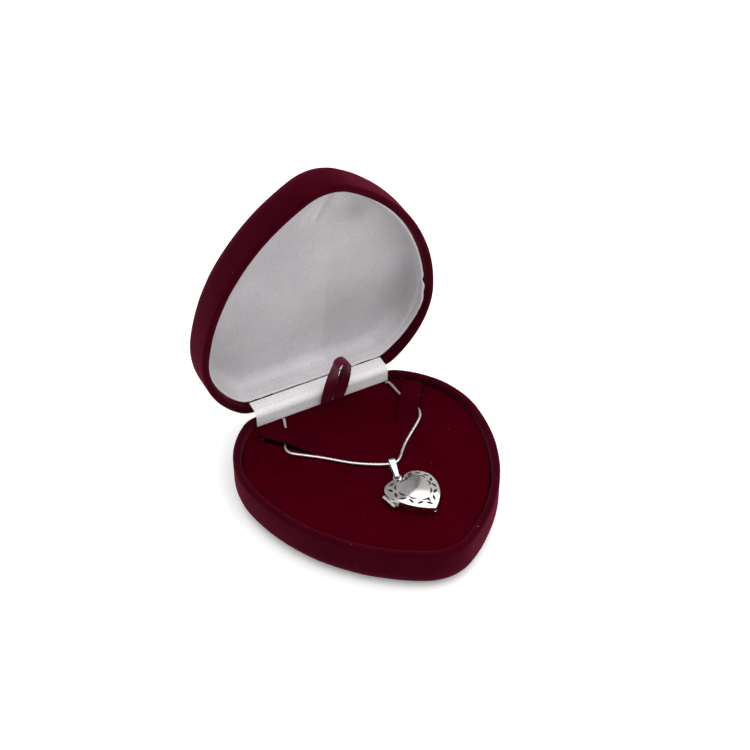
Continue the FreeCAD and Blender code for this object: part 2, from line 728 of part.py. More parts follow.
def ring_of(cutter, share, count, lean):
    """Copies of a cutter along a smaller heart, leaning in turn to one side and the other."""
    ring = heart_face(share, 0).OuterWire
    points = ring.discretize(Number=2 * count + 1)
    pieces = []
    for i in range(1, 2 * count, 2):
        along = points[i + 1] - points[i - 1]
        side = 1 if i % 4 == 1 else -1
        spin = math.degrees(math.atan2(along.y, along.x)) + side * lean
        piece = cutter.copy()
        piece.Placement = FreeCAD.Placement(points[i], FreeCAD.Rotation(Z_AXIS, spin))
        pieces.append(piece)
    return pieces


def kite(low, high):
    """Three-cornered opening over the tip of the heart."""
    half = KITE_WIDE / 2
    top = KITE_Y + KITE_LONG / 2
    corners = [(-half, top), (0, top - KITE_WIDE / 4), (half, top), (0, KITE_Y - KITE_LONG / 2)]
    outline = Part.makePolygon([Vector(x, y, low) for x, y in corners + corners[:1]])
    return Part.Face(outline).extrude(Vector(0, 0, high - low))


def pierced_border(low, high):
    """Leaves round the border, sickles round the plain middle, and a kite at the tip."""
    leaf = sickle(LEAF_LONG, 0, LEAF_WIDE, low, high)
    crescent = sickle(CRESCENT_LONG, CRESCENT_RISE, CRESCENT_WIDE, low, high)
    openings = ring_of(leaf, LEAF_SHARE, LEAF_COUNT, LEAF_LEAN_ANGLE)
    openings += ring_of(crescent, CRESCENT_SHARE, CRESCENT_COUNT, 0)
    return openings[0].fuse(openings[1:] + [kite(low, high)])


def locket_knuckles(rows, low, high):
    """Barrel pieces on the left edge with a tab to the half that carries them."""
    pieces = []
    for y0, y1 in rows:
        barrel = Part.makeCylinder(LOCKET_BARREL, y1 - y0, Vector(LOCKET_HINGE_X, y0, HINGE_LEVEL), Y_AXIS)
        tab = block(LOCKET_HINGE_X, LOCKET_HINGE_X + KNUCKLE_TAB, y0, y1, low, high)
        pieces += [barrel, tab]
    return pieces


def locket_rows():
    third = (LOCKET_HINGE_HIGH - LOCKET_HINGE_LOW) / 3
    gap = LOCKET_PLAY
    starts = [LOCKET_HINGE_LOW + i * third for i in range(3)]
    rows = [(start + gap, start + third - gap) for start in starts]
    return rows[0::2], rows[1::2]


def locket_bore():
    foot = Vector(LOCKET_HINGE_X, LOCKET_HINGE_LOW - 1, HINGE_LEVEL)
    length = LOCKET_HINGE_HIGH - LOCKET_HINGE_LOW + 2
    return Part.makeCylinder(LOCKET_PIN + LOCKET_PLAY, length, foot, Y_AXIS)


def barrel_room(rows):
    """Room for the other half's knuckles."""
    rooms = []
    for y0, y1 in rows:
        foot = Vector(LOCKET_HINGE_X, y0 - KNUCKLE_PLAY, HINGE_LEVEL)
        length = y1 - y0 + 2 * KNUCKLE_PLAY
        rooms.append(Part.makeCylinder(LOCKET_BARREL + KNUCKLE_PLAY, length, foot, Y_AXIS))
    return Part.Compound(rooms)


def locket_back():
    body = heart_body(LOCKET_PLAY, LOCKET_PLAY + BACK_HALF)
    body = body.makeFillet(LOCKET_EDGE, level_edges(body, LOCKET_PLAY))
    body = body.cut(heart_prism(RECESS_SHARE, LOCKET_PLAY + LOCKET_WALL, FRONT_LOW + 1))
    own, other = locket_rows()
    body = body.fuse(locket_knuckles(own, HINGE_LEVEL - KNUCKLE_TAB_HIGH, HINGE_LEVEL - LOCKET_SEAM / 2))
    return body.cut(locket_bore()).cut(barrel_room(other))


def locket_front():
    """Domed and pierced front half, hollow behind."""
    body = heart_body(FRONT_LOW, FRONT_HIGH + 1).common(dome(0))
    shoulder = [e for e in body.Edges if e.BoundBox.ZMin > FRONT_LOW + FRONT_RIM / 2]
    body = body.makeFillet(RIM_EDGE, shoulder)
    hollow = heart_prism(RECESS_SHARE, FRONT_LOW - 1, FRONT_HIGH + 1).common(dome(LOCKET_WALL))
    body = body.cut(hollow)
    body = body.cut(pierced_border(FRONT_LOW + FRONT_RIM, FRONT_HIGH + 1))
    other, own = locket_rows()
    body = body.fuse(locket_knuckles(own, HINGE_LEVEL + LOCKET_SEAM / 2, HINGE_LEVEL + KNUCKLE_TAB_HIGH))
    return body.cut(locket_bore()).cut(barrel_room(other))


def locket_backing():
    """Dark plate behind the piercing, domed to lie against it."""
    plate = heart_prism(RECESS_SHARE - BACKING_PLAY, FRONT_LOW, FRONT_HIGH).common(dome(LOCKET_WALL))
    return plate.cut(dome(LOCKET_WALL + BACKING))


def photo_frame(low):
    window = heart_prism(FRAME_WINDOW_SHARE, low - 1, low + FRAME + 1)
    return heart_prism(FRAME_SHARE, low, low + FRAME).cut(window)


def end_cap(at, heading):
    """Cup soldered to the end of the chain."""
    return Part.makeCylinder(CHAIN_RADIUS + CAP_WALL, CAP_LENGTH, at, heading)


def ring_arc(ring, wire, start, span):
    """Part of a round ring about the local Z axis, from 'start' over 'span' degrees."""
    piece = Part.makeTorus(ring, wire, Vector(), Z_AXIS, 0, 360, span)
    piece.rotate(Vector(), Z_AXIS, start)
    return piece


def nub_angle():
    """Where the thumb nub stands when the clasp is shut."""
    return CLASP_BOLT_ANGLE - CLASP_GAP_ANGLE / 2 - CLASP_NUB_ANGLE


def clasp_body():
    """Tubular ring with a gap, an eye on the chain side and a slot for the thumb nub."""
    body = ring_arc(CLASP_RADIUS, CLASP_TUBE, CLASP_GAP_ANGLE / 2, 360 - CLASP_GAP_ANGLE)
    body = body.cut(torus(Vector(), Z_AXIS, CLASP_RADIUS, CLASP_BORE))
    outer = CLASP_RADIUS + CLASP_TUBE + 1
    slot_width = 2 * (CLASP_NUB + LOCKET_PLAY)
    low = Vector(0, 0, -slot_width / 2)
    slot = Part.makeCylinder(outer, slot_width, low, Z_AXIS, CLASP_TRAVEL_ANGLE + CLASP_SLOT_ANGLE)
    slot = slot.cut(Part.makeCylinder(CLASP_RADIUS, slot_width, low, Z_AXIS))
    slot.rotate(Vector(), Z_AXIS, nub_angle() - CLASP_SLOT_ANGLE / 2)
    return body.cut(slot)


def clasp_bolt():
    """Curved bolt that closes the gap, with its thumb nub."""
    bolt = ring_arc(CLASP_RADIUS, CLASP_BOLT, -CLASP_GAP_ANGLE / 2 - CLASP_SHUT_ANGLE, CLASP_BOLT_ANGLE)
    nub = Part.makeCylinder(CLASP_NUB, CLASP_NUB_REACH, Vector(CLASP_RADIUS, 0, 0), X_AXIS)
    nub.rotate(Vector(), Z_AXIS, nub_angle())
    return bolt.fuse(nub)


def export(name, shape):
    solids = len(shape.Solids)
    good = shape.isValid()
    print(f"{name}: {solids} solids, valid {good}, volume {shape.Volume:.2f}")
    shape.exportStep(f"parts/{name}.step")


# Base and lid
base_shell, base_cover = dish(BASE_HEIGHT)
lid_shell, lid_cover = dish(LID_HEIGHT)
base_knuckles, lid_knuckles = knuckle_rows()
floor_paper = prism(EDGE_ROUND, FLOOR, FLOOR + FLOOR_PAPER)
export("base_shell", base_shell)
base_bottom = prism(EDGE_ROUND, 0, VELVET)
export("base_velvet_cover", base_cover.cut(base_bottom))
export("base_velvet_bottom", base_bottom)
export("base_floor_paper", floor_paper)
export("lid_shell", as_lid(raised_to_seam(lid_shell, LID_HEIGHT)))
export("lid_velvet_cover", as_lid(raised_to_seam(lid_cover, LID_HEIGHT)))
export("lid_satin_lining", as_lid(raised_to_seam(lid_lining(), LID_HEIGHT)))

# Hinge
export("hinge_leaf_base", hinge_leaf(base_knuckles, BASE_HEIGHT))
export("hinge_leaf_lid", as_lid(hinge_leaf(lid_knuckles, BASE_HEIGHT)))
export("hinge_pin", across(PIN_RADIUS, -HINGE_LENGTH / 2, HINGE_LENGTH / 2, HINGE_Y, SEAM_Z))
export("hinge_rivets_base", rivets(BASE_HEIGHT))
export("hinge_rivets_lid", as_lid(rivets(BASE_HEIGHT)))
export("hinge_satin_strip", hinge_strip())

# Insert
chain_wire, chain_radii = routed_wire(chain_points())
flaps = [(FLAP_LEFT_ROOT, FLAP_LEFT_ANGLE), (FLAP_RIGHT_ROOT, FLAP_RIGHT_ANGLE)]
openings = [flap_window(root, heading) for root, heading in flaps]
for x in (NOTCH_LEFT_X, NOTCH_RIGHT_X):
    openings.append(block(x - NOTCH_WIDTH / 2, x + NOTCH_WIDTH / 2, BACK - PAD_INSET - NOTCH_DEPTH, BACK,
                          PAD_Z - PAD_CARD - PAD_VELVET - 1, PAD_Z + 1))
cuts = openings[0].fuse(openings[1:])
velvet = prism(PAD_INSET, PAD_Z - PAD_VELVET, PAD_Z)
velvet = velvet.makeFillet(PAD_EDGE_ROUND, level_edges(velvet, PAD_Z))
export("insert_velvet_face", velvet.cut(cuts))
export("insert_card", prism(PAD_INSET, PAD_Z - PAD_VELVET - PAD_CARD, PAD_Z - PAD_VELVET).cut(cuts))
collar_low = FLOOR + FLOOR_PAPER
collar_high = PAD_Z - PAD_VELVET - PAD_CARD
collar = prism(COLLAR_INSET, collar_low, collar_high)
collar = collar.cut(prism(COLLAR_INSET + COLLAR, collar_low - 1, collar_high + 1))
for x in (NOTCH_LEFT_X, NOTCH_RIGHT_X):
    collar = collar.cut(block(x - COLLAR_NOTCH, x + COLLAR_NOTCH, BACK - COLLAR_INSET - 2 * COLLAR, BACK,
                              PAD_Z - COLLAR_NOTCH_DEPTH, PAD_Z))
export("insert_collar", collar)
export("flap_left", flap(*flaps[0]))
export("flap_right", flap(*flaps[1]))
export("ribbon_pull", ribbon_pull())

# Chain
chain = tube(chain_wire, CHAIN_RADIUS)
share = chain.Volume / (math.pi * CHAIN_RADIUS ** 2 * chain_wire.Length)
print(f"chain {chain_wire.Length:.1f} mm, volume share {share:.4f}")
print("bend radii", [round(r, 1) for r in chain_radii])
export("snake_chain", chain)
coil_wire = biarc_wire(coil_points())
coil = tube(coil_wire, CHAIN_RADIUS)
share = coil.Volume / (math.pi * CHAIN_RADIUS ** 2 * coil_wire.Length)
gap = least_self_gap(coil_wire, CHAIN_DIAMETER)
print(f"coil {coil_wire.Length:.1f} mm, volume share {share:.4f}, self gap {gap:.2f}")
export("snake_chain_coil", coil)

# Ends of the chain
coil_start = coil_points()[0] + Y_AXIS * COIL_LEAD
route_end = chain_points()[-1]
tail = Vector(route_end - chain_points()[-2]).normalize()
export("chain_end_caps", Part.Compound([end_cap(coil_start, Y_AXIS), end_cap(route_end, tail)]))
clasp_centre = coil_start + Y_AXIS * (CAP_LENGTH + CLASP_RADIUS + CLASP_TUBE)
clasp_lift = Vector(0, 0, CLASP_TUBE - CHAIN_RADIUS)
clasp_place = FreeCAD.Placement(clasp_centre + clasp_lift, FreeCAD.Rotation(Z_AXIS, 90))
export("clasp_body", set_down(clasp_body(), clasp_place))
export("clasp_bolt", set_down(clasp_bolt(), clasp_place))
ring_centre = route_end + tail * (CAP_LENGTH + END_RING_RADIUS + END_RING_WIRE)
export("end_ring", torus(ring_centre, Z_AXIS, END_RING_RADIUS, END_RING_WIRE))

# Pendant
export("bail", bail())
export("jump_ring", set_down(torus(Vector(0, RING_Y, RING_Z), Z_AXIS, RING_RADIUS, RING_WIRE), BAIL_PLACE))
back_half = locket_back()
eye_place = Vector(0, EYE_Y - LOCKET_Y, EYE_Z)
stem_turn = math.radians(EYE_STEM_ANGLE)
stem_foot = Vector(0, CLEFT_Y, EYE_Z - EYE_RADIUS * math.sin(stem_turn))
stem_length = EYE_STEM + EYE_RADIUS * (1 - math.cos(stem_turn))
eye = torus(eye_place, X_AXIS, EYE_RADIUS, EYE_WIRE)
eye = eye.fuse(Part.makeCylinder(EYE_WIRE, stem_length, stem_foot, Y_AXIS)).cut(back_half)
export("locket_eye", set_down(eye, LOCKET_PLACE))
export("locket_back", set_down(back_half, LOCKET_PLACE))
export("locket_front", set_down(locket_front(), LOCKET_PLACE))
export("locket_backing", set_down(locket_backing(), LOCKET_PLACE))
under_backing = LOCKET_WALL + BACKING
frame_high = FRONT_HIGH - under_backing - dome_sag(farthest(FRAME_SHARE), DOME_RADIUS - under_backing)
export("photo_frame_front", set_down(photo_frame(frame_high - FRAME), LOCKET_PLACE))
export("photo_frame_back", set_down(photo_frame(LOCKET_PLAY + LOCKET_WALL), LOCKET_PLACE))
pin_length = LOCKET_HINGE_HIGH - LOCKET_HINGE_LOW
pin = Part.makeCylinder(LOCKET_PIN, pin_length, Vector(LOCKET_HINGE_X, LOCKET_HINGE_LOW, HINGE_LEVEL), Y_AXIS)
export("locket_hinge_pin", set_down(pin, LOCKET_PLACE))
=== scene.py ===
import math

import bmesh
import bpy
from mathutils import Matrix, Vector, noise


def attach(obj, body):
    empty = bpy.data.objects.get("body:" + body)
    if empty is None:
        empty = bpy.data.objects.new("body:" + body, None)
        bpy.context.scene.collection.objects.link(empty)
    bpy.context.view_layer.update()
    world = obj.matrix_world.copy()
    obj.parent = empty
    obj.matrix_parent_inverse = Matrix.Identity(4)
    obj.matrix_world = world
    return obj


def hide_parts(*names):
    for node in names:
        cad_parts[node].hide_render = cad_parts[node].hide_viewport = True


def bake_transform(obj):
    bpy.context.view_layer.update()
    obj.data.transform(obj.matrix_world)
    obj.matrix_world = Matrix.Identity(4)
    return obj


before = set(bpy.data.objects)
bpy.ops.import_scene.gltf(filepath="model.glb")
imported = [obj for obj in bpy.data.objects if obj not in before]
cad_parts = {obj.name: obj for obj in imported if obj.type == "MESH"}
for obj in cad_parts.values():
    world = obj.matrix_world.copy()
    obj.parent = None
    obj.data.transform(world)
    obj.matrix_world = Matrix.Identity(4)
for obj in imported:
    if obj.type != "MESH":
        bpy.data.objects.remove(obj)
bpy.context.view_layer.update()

# Camera: a long lens that looks down into the open box from its front left.
MM = 0.001
CAMERA_AZIMUTH = math.radians(-29.819)
CAMERA_ELEVATION = math.radians(38.589)
CAMERA_DISTANCE = 579.82 * MM
CAMERA_AIM = Vector((21.504, 43.939, 20.0)) * MM
camera_data = bpy.data.cameras.new("photo_camera")
camera_data.lens = 71.87
camera_data.sensor_width = 36.0
camera_data.clip_start = 0.01
camera = bpy.data.objects.new("photo_camera", camera_data)
bpy.context.collection.objects.link(camera)
flat_reach = math.cos(CAMERA_ELEVATION)
towards_camera = Vector((
    math.sin(CAMERA_AZIMUTH) * flat_reach,
    -math.cos(CAMERA_AZIMUTH) * flat_reach,
    math.sin(CAMERA_ELEVATION),
))
camera.location = CAMERA_AIM + towards_camera * CAMERA_DISTANCE
camera.rotation_euler = towards_camera.to_track_quat("Z", "Y").to_euler()
bpy.context.scene.camera = camera

# Studio: a white sweep, one large soft light overhead and weak fill all round.
bpy.context.scene.view_settings.view_transform = "Standard"
world = bpy.context.scene.world or bpy.data.worlds.new("studio")
bpy.context.scene.world = world
world.use_nodes = True
room = world.node_tree.nodes["Background"]
room.inputs["Color"].default_value = (1.0, 1.0, 1.0, 1.0)
room.inputs["Strength"].default_value = 0.66


def soft_light(name, place, aim, width, depth, power):
    data = bpy.data.lights.new(name, "AREA")
    data.shape = "RECTANGLE"
    data.size = width
    data.size_y = depth
    data.energy = power
    lamp = bpy.data.objects.new(name, data)
    lamp.location = place
    lamp.rotation_euler = (Vector(place) - Vector(aim)).to_track_quat("Z", "Y").to_euler()
    bpy.context.collection.objects.link(lamp)


OVERHEAD_PLACE = (0.10, -0.06, 0.75)
OVERHEAD_AIM = (0.0, 0.0, 0.0)
OVERHEAD_SIZE = 1.3
OVERHEAD_POWER = 9.0
SIDE_PLACE = (0.55, -0.10, 0.40)
SIDE_AIM = (0.0, 0.0, 0.03)
SIDE_SIZE = 0.6
SIDE_POWER = 0.5
soft_light("overhead_softbox", OVERHEAD_PLACE, OVERHEAD_AIM, OVERHEAD_SIZE, OVERHEAD_SIZE, OVERHEAD_POWER)
soft_light("side_softbox", SIDE_PLACE, SIDE_AIM, SIDE_SIZE, SIDE_SIZE, SIDE_POWER)


def add_node(tree, kind, **settings):
    """One shader node; settings that name an input fill it, the others are properties."""
    node = tree.nodes.new(kind)
    for key, value in settings.items():
        label = key.replace("_", " ").title()
        if label in node.inputs:
            node.inputs[label].default_value = value
        else:
            setattr(node, key, value)
    return node


def new_material(name):
    material = bpy.data.materials.new(name)
    material.use_nodes = True
    tree = material.node_tree
    shader = tree.nodes["Principled BSDF"]
    coords = tree.nodes.new("ShaderNodeTexCoord")
    return material, tree, shader, coords.outputs["Object"]


def noise_node(tree, coords, scale, detail=2.0, roughness=0.5):
    node = add_node(tree, "ShaderNodeTexNoise", scale=scale, detail=detail, roughness=roughness)
    tree.links.new(coords, node.inputs["Vector"])
    return node.outputs["Fac"]


def ramp_node(tree, source, stops):
    """Colours along a 0 to 1 value: (position, colour) pairs."""
    node = tree.nodes.new("ShaderNodeValToRGB")
    band = node.color_ramp
    while len(band.elements) < len(stops):
        band.elements.new(1.0)
    for element, (position, colour) in zip(band.elements, stops):
        element.position = position
        element.color = (*colour, 1.0)
    tree.links.new(source, node.inputs["Fac"])
    return node.outputs["Color"]


def grey(value):
    return (value, value, value)


def bump_node(tree, shader, height, distance, strength=1.0):
    node = add_node(tree, "ShaderNodeBump", strength=strength, distance=distance)
    tree.links.new(height, node.inputs["Height"])
    tree.links.new(node.outputs["Normal"], shader.inputs["Normal"])


floor_mesh = bmesh.new()
bmesh.ops.create_grid(floor_mesh, x_segments=4, y_segments=4, size=3.0)
floor_data = bpy.data.meshes.new("studio_floor")
floor_mesh.to_mesh(floor_data)
floor_mesh.free()
paper_white, tree, shader, coords = new_material("paper_sweep")
mottle = ramp_node(tree, noise_node(tree, coords, 40.0), [(0.3, grey(0.90)), (0.7, grey(0.92))])
tree.links.new(mottle, shader.inputs["Base Color"])
shader.inputs["Roughness"].default_value = 0.9
shader.inputs["Emission Color"].default_value = (1.0, 1.0, 1.0, 1.0)
shader.inputs["Emission Strength"].default_value = 0.20
floor_data.materials.append(paper_white)
studio_floor = bpy.data.objects.new("studio_floor", floor_data)
bpy.context.collection.objects.link(studio_floor)

# Snake chain: silver, one length with an end cap at each end. It comes up from the store under the insert,
# is held by the two tongues, carries the pendant at its lowest point and goes back down on the right.
BACK = 49.0848
PAD_TOP = 13.9
CHAIN_DIAMETER = 1.2
COIL_MIDDLE = Vector((-19.4, BACK - 34.0, 3.6))
COIL_INNER = 3.6
COIL_PITCH = 1.95
COIL_TURNS = 3
COIL_STEPS = 12
COIL_LEAD = 5.0
CHAIN_LAY = [
    (-9.6, -24.5, -8.0), (-10.4, -19.0, -6.8), (-14.0, -13.0, -5.8), (-17.6, -8.0, -5.2),
    (-18.1, -5.2, -3.2), (-18.2, -4.6, -0.8), (-18.5, -5.6, 1.1), (-19.3, -8.0, 0.8),
    (-20.3, -10.6, 0.75), (-21.5, -13.2, 0.62), (-23.8, -17.2, 0.62), (-25.9, -20.8, 0.74),
    (-25.6, -23.9, 0.72), (-22.0, -27.0, 0.7), (-15.6, -32.4, 0.68), (-7.8, -40.6, 0.7),
    (1.3, -47.7, 1.6), (6.4, -49.1, 1.6), (13.0, -41.2, 0.7), (19.8, -35.8, 0.7),
    (26.8, -30.4, 0.7), (28.7, -27.0, 0.66), (29.4, -22.8, 0.30), (28.2, -17.6, 0.40),
    (27.2, -13.2, 0.66), (27.4, -9.4, 0.75), (27.0, -5.8, 1.1), (26.5, -4.6, -0.8),
    (26.3, -5.2, -3.2), (25.2, -8.0, -5.2), (22.4, -12.4, -6.6), (18.4, -16.6, -8.4),
    (13.6, -21.0, -9.7), (9.4, -25.4, -10.2), (6.0, -29.6, -10.28),
]
chain_control = []
layer_steps = COIL_TURNS * COIL_STEPS
climb_steps = COIL_STEPS // 2
all_steps = 2 * layer_steps + climb_steps
for step in range(all_steps + 1):
    climbed = min(max(step - layer_steps, 0), climb_steps) / climb_steps
    from_climb = max(layer_steps - step, step - layer_steps - climb_steps, 0)
    reach = COIL_INNER + COIL_PITCH * from_climb / COIL_STEPS
    swing = (step - all_steps) * math.tau / COIL_STEPS
    turn_point = Vector((math.cos(swing) * reach, math.sin(swing) * reach, climbed * COIL_PITCH))
    chain_control.append(COIL_MIDDLE + turn_point)
chain_control.insert(0, chain_control[0] + Vector((0.0, COIL_LEAD, 0.0)))
chain_control.append(chain_control[-1] + Vector((0.0, COIL_LEAD, 0.0)))
for x, from_back, height in CHAIN_LAY:
    chain_control.append(Vector((x, BACK + from_back, PAD_TOP + height)))

chain_curve = bpy.data.curves.new("chain_line", "CURVE")
chain_curve.dimensions = "3D"
chain_spline = chain_curve.splines.new("NURBS")
chain_spline.points.add(len(chain_control) - 1)
for point, place in zip(chain_spline.points, chain_control):
    point.co = (*(place * MM), 1.0)
chain_spline.order_u = 3
chain_spline.use_endpoint_u = True
chain_spline.resolution_u = 24
chain_line = bpy.data.objects.new("chain_line", chain_curve)
bpy.context.collection.objects.link(chain_line)


def evaluated_mesh(piece):
    """The piece's mesh as its modifiers or its curve settings give it."""
    graph = bpy.context.evaluated_depsgraph_get()
    return bpy.data.meshes.new_from_object(piece.evaluated_get(graph))


line_mesh = evaluated_mesh(chain_line)
chain_path = [v.co.copy() for v in line_mesh.vertices]
chain_curve.bevel_depth = CHAIN_DIAMETER / 2 * MM
chain_curve.bevel_resolution = 3
chain_mesh = evaluated_mesh(chain_line)
bpy.data.objects.remove(chain_line)

# Each plate of the chain is a short ring; the tube sinks a little between one ring and the next.
PLATE_PITCH = 0.62
PLATE_SINK = 0.06
around = len(chain_mesh.vertices) // len(chain_path)
run = 0.0
plates = bmesh.new()
plates.from_mesh(chain_mesh)
plates.verts.ensure_lookup_table()
plates.normal_update()
for index, place in enumerate(chain_path):
    if index:
        run += (place - chain_path[index - 1]).length
    share = abs(math.sin(math.pi * run / (PLATE_PITCH * MM)))
    sink = PLATE_SINK * MM * (1.0 - share) ** 2
    for vertex in plates.verts[index * around:(index + 1) * around]:
        vertex.co -= (vertex.co - place).normalized() * sink
open_ends = [e for e in plates.edges if e.is_boundary]
bmesh.ops.holes_fill(plates, edges=open_ends)
bmesh.ops.recalc_face_normals(plates, faces=plates.faces)
plates.to_mesh(chain_mesh)
plates.free()


def silver_finish(name, bright, rough_low, rough_high, scratch):
    """Polished silver: hairline scratches, uneven gloss and a faint warm tarnish."""
    material, tree, shader, coords = new_material(name)
    tone = noise_node(tree, coords, 260.0, 4.0)
    colour = ramp_node(tree, tone, [(0.3, [c * 0.90 for c in bright]), (0.62, bright)])
    tree.links.new(colour, shader.inputs["Base Color"])
    shader.inputs["Metallic"].default_value = 1.0
    smear = noise_node(tree, coords, 900.0, 3.0)
    gloss = ramp_node(tree, smear, [(0.35, grey(rough_low)), (0.7, grey(rough_high))])
    tree.links.new(gloss, shader.inputs["Roughness"])
    stretch = add_node(tree, "ShaderNodeMapping")
    stretch.inputs["Scale"].default_value = (1.0, 14.0, 1.0)
    stretch.inputs["Rotation"].default_value = (0.0, 0.0, 0.5)
    tree.links.new(coords, stretch.inputs["Vector"])
    lines = noise_node(tree, stretch.outputs["Vector"], 1400.0, 2.0)
    bump_node(tree, shader, lines, scratch)
    return material


SILVER = (0.66, 0.655, 0.64)
chain_silver = silver_finish("chain_silver", SILVER, 0.22, 0.34, 0.000004)
chain_mesh.materials.clear()
chain_mesh.materials.append(chain_silver)
chain_mesh.shade_smooth()
snake_chain = bpy.data.objects.new("snake_chain_plates", chain_mesh)
bpy.context.collection.objects.link(snake_chain)
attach(snake_chain, "insert")
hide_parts("snake_chain", "snake_chain_coil")

# Base of the box: a moulded shell wrapped in burgundy flock velvet, which goes over the rim and is glued
# down inside. The rim at the back is cut away for the hinge.
BASE_HEIGHT = 16.3
SEAM = 16.4
EDGE_ROUND = 6.9
RIM_ROUND = 1.2
VELVET = 0.7
SHELL = 1.6
WALL = SHELL + 2 * VELVET
FLOOR = SHELL + VELVET
TUCK = 7.0
HINGE_OUTSET = 0.6
HINGE_AXIS = Vector((0.0, BACK + HINGE_OUTSET, SEAM))
HINGE_LENGTH = 36.0
HINGE_ROOM = 0.2
FLANGE_DEPTH = 0.45
BARREL_ROOM = 1.3
STRIP_WIDTH = 57.0
STRIP_ROOM_FOOT = 0.9
RUFFLE = 0.10
RUFFLE_PITCH = 9.0
BASE_SEED = 3.1
LID_SEED = 7.7


def turned(angle):
    """Direction that lies 'angle' degrees clockwise from the back."""
    return Vector((math.sin(math.radians(angle)), math.cos(math.radians(angle)), 0.0))


# Each arc meets the next without a corner, so the middles lie apart by the difference of the two radii.
FLAT_HALF = 27.6
CORNER_RADIUS = 10.0
CORNER_END = 37.8
LOBE_OVER_CORNER = 28.4
LOBE_END = 94.9
SIDE_OVER_LOBE = 37.6
SIDE_OVER_TIP = 56.2
corner_middle = Vector((FLAT_HALF, BACK - CORNER_RADIUS, 0.0))
lobe_middle = corner_middle - turned(CORNER_END) * LOBE_OVER_CORNER
side_middle = lobe_middle - turned(LOBE_END) * SIDE_OVER_LOBE
side_end = 180.0 - math.degrees(math.asin(-side_middle.x / SIDE_OVER_TIP))
tip_middle = side_middle + turned(side_end) * SIDE_OVER_TIP
HEART_ARCS = [
    (corner_middle, 0.0, CORNER_END, 8),
    (lobe_middle, CORNER_END, LOBE_END, 18),
    (side_middle, LOBE_END, side_end, 22),
    (tip_middle, side_end, 180.0, 9),
]
FLAT_STEPS = 14
HEART_MIDDLE = Vector((0.0, 4.0, 0.0))


def heart_ring(bm, inset, z, fine):
    """One closed line round the box, 'inset' inside its outer face: half is spun, then mirrored."""
    known = set(bm.edges)
    start = bm.verts.new((0.0, BACK - inset, z))
    flat_steps = FLAT_STEPS * fine
    side_step = Vector((FLAT_HALF / flat_steps, 0.0, 0.0))
    made = bmesh.ops.spin(bm, geom=[start], steps=flat_steps, dvec=side_step, axis=(0, 0, 1), angle=0.0)
    last = made["geom_last"]
    for middle, first_turn, last_turn, steps in HEART_ARCS:
        made = bmesh.ops.spin(
            bm, geom=last, cent=(middle.x, middle.y, z), axis=(0, 0, -1),
            angle=math.radians(last_turn - first_turn), steps=steps * fine,
        )
        last = made["geom_last"]
    half = [e for e in bm.edges if e not in known]
    ends = list({v for e in half for v in e.verts})
    bmesh.ops.mirror(bm, geom=ends + half, axis="X", merge_dist=0.005)
    return [e for e in bm.edges if e not in known]


def heart_skin(bm, profile, fine=1):
    """Rings at each (inset, height) of a section, joined one to the next. Gives the first and last ring."""
    rings = [heart_ring(bm, inset, z, fine) for inset, z in profile]
    for one, other in zip(rings, rings[1:]):
        bmesh.ops.bridge_loops(bm, edges=one + other)
    return rings[0], rings[-1]


def fill_in(bm, ring, steps):
    """Closes a ring with smaller and smaller rings and one point in the middle."""
    height = ring[0].verts[0].co.z
    middle = Vector((HEART_MIDDLE.x, HEART_MIDDLE.y, height))
    for step in range(steps, 0, -1):
        made = bmesh.ops.extrude_edge_only(bm, edges=ring)["geom"]
        inner = [g for g in made if isinstance(g, bmesh.types.BMVert)]
        ring = [g for g in made if isinstance(g, bmesh.types.BMEdge) and all(v in inner for v in g.verts)]
        share = (step - 1) / step
        bmesh.ops.scale(bm, vec=(share, share, 1.0), space=Matrix.Translation(-middle), verts=inner)
        if step == 1:
            bmesh.ops.pointmerge(bm, verts=inner, merge_co=middle)


def quarter(inset, z, radius, first, last, steps=7):
    """Points of a rounded edge about (inset, z); angles in degrees, 0 outwards and 90 up."""
    points = []
    for i in range(steps + 1):
        angle = math.radians(first + (last - first) * i / steps)
        points.append((inset - math.cos(angle) * radius, z + math.sin(angle) * radius))
    return points


def cover_section(height):
    """Section of the velvet: up the outside, over the rim, down inside, and back along the shell."""
    outside = quarter(EDGE_ROUND, EDGE_ROUND, EDGE_ROUND, -90.0, 0.0, 9)
    outside += quarter(RIM_ROUND, height - RIM_ROUND, RIM_ROUND, 0.0, 90.0, 6)
    outside += quarter(WALL - RIM_ROUND, height - RIM_ROUND, RIM_ROUND, 90.0, 180.0, 6)
    tuck = [(WALL, height - 3.2), (WALL, height - 5.2), (WALL, height - TUCK), (FLOOR, height - TUCK)]
    inside = [(FLOOR, height - VELVET), (VELVET, height - VELVET), (VELVET, EDGE_ROUND)]
    inside += quarter(EDGE_ROUND, EDGE_ROUND, EDGE_ROUND - VELVET, 0.0, -90.0, 6)[1:]
    return outside + tuck + inside


def carve(bm, cutters):
    """Takes the cutters away from the mesh, each closed shape in turn."""
    mesh = bpy.data.meshes.new("carved")
    bmesh.ops.recalc_face_normals(bm, faces=bm.faces)
    bm.to_mesh(mesh)
    stock = bpy.data.objects.new("carved", mesh)
    bpy.context.collection.objects.link(stock)
    tools = []
    for cutter in cutters:
        bmesh.ops.recalc_face_normals(cutter, faces=cutter.faces)
        tool_mesh = bpy.data.meshes.new("cutter")
        cutter.to_mesh(tool_mesh)
        cutter.free()
        tool = bpy.data.objects.new("cutter", tool_mesh)
        bpy.context.collection.objects.link(tool)
        cut = stock.modifiers.new("cut", "BOOLEAN")
        cut.operation = "DIFFERENCE"
        cut.solver = "EXACT"
        cut.object = tool
        tools.append(tool)
    bpy.context.view_layer.update()
    result = evaluated_mesh(stock)
    bm.clear()
    bm.from_mesh(result)
    for tool in tools + [stock]:
        bpy.data.objects.remove(tool)


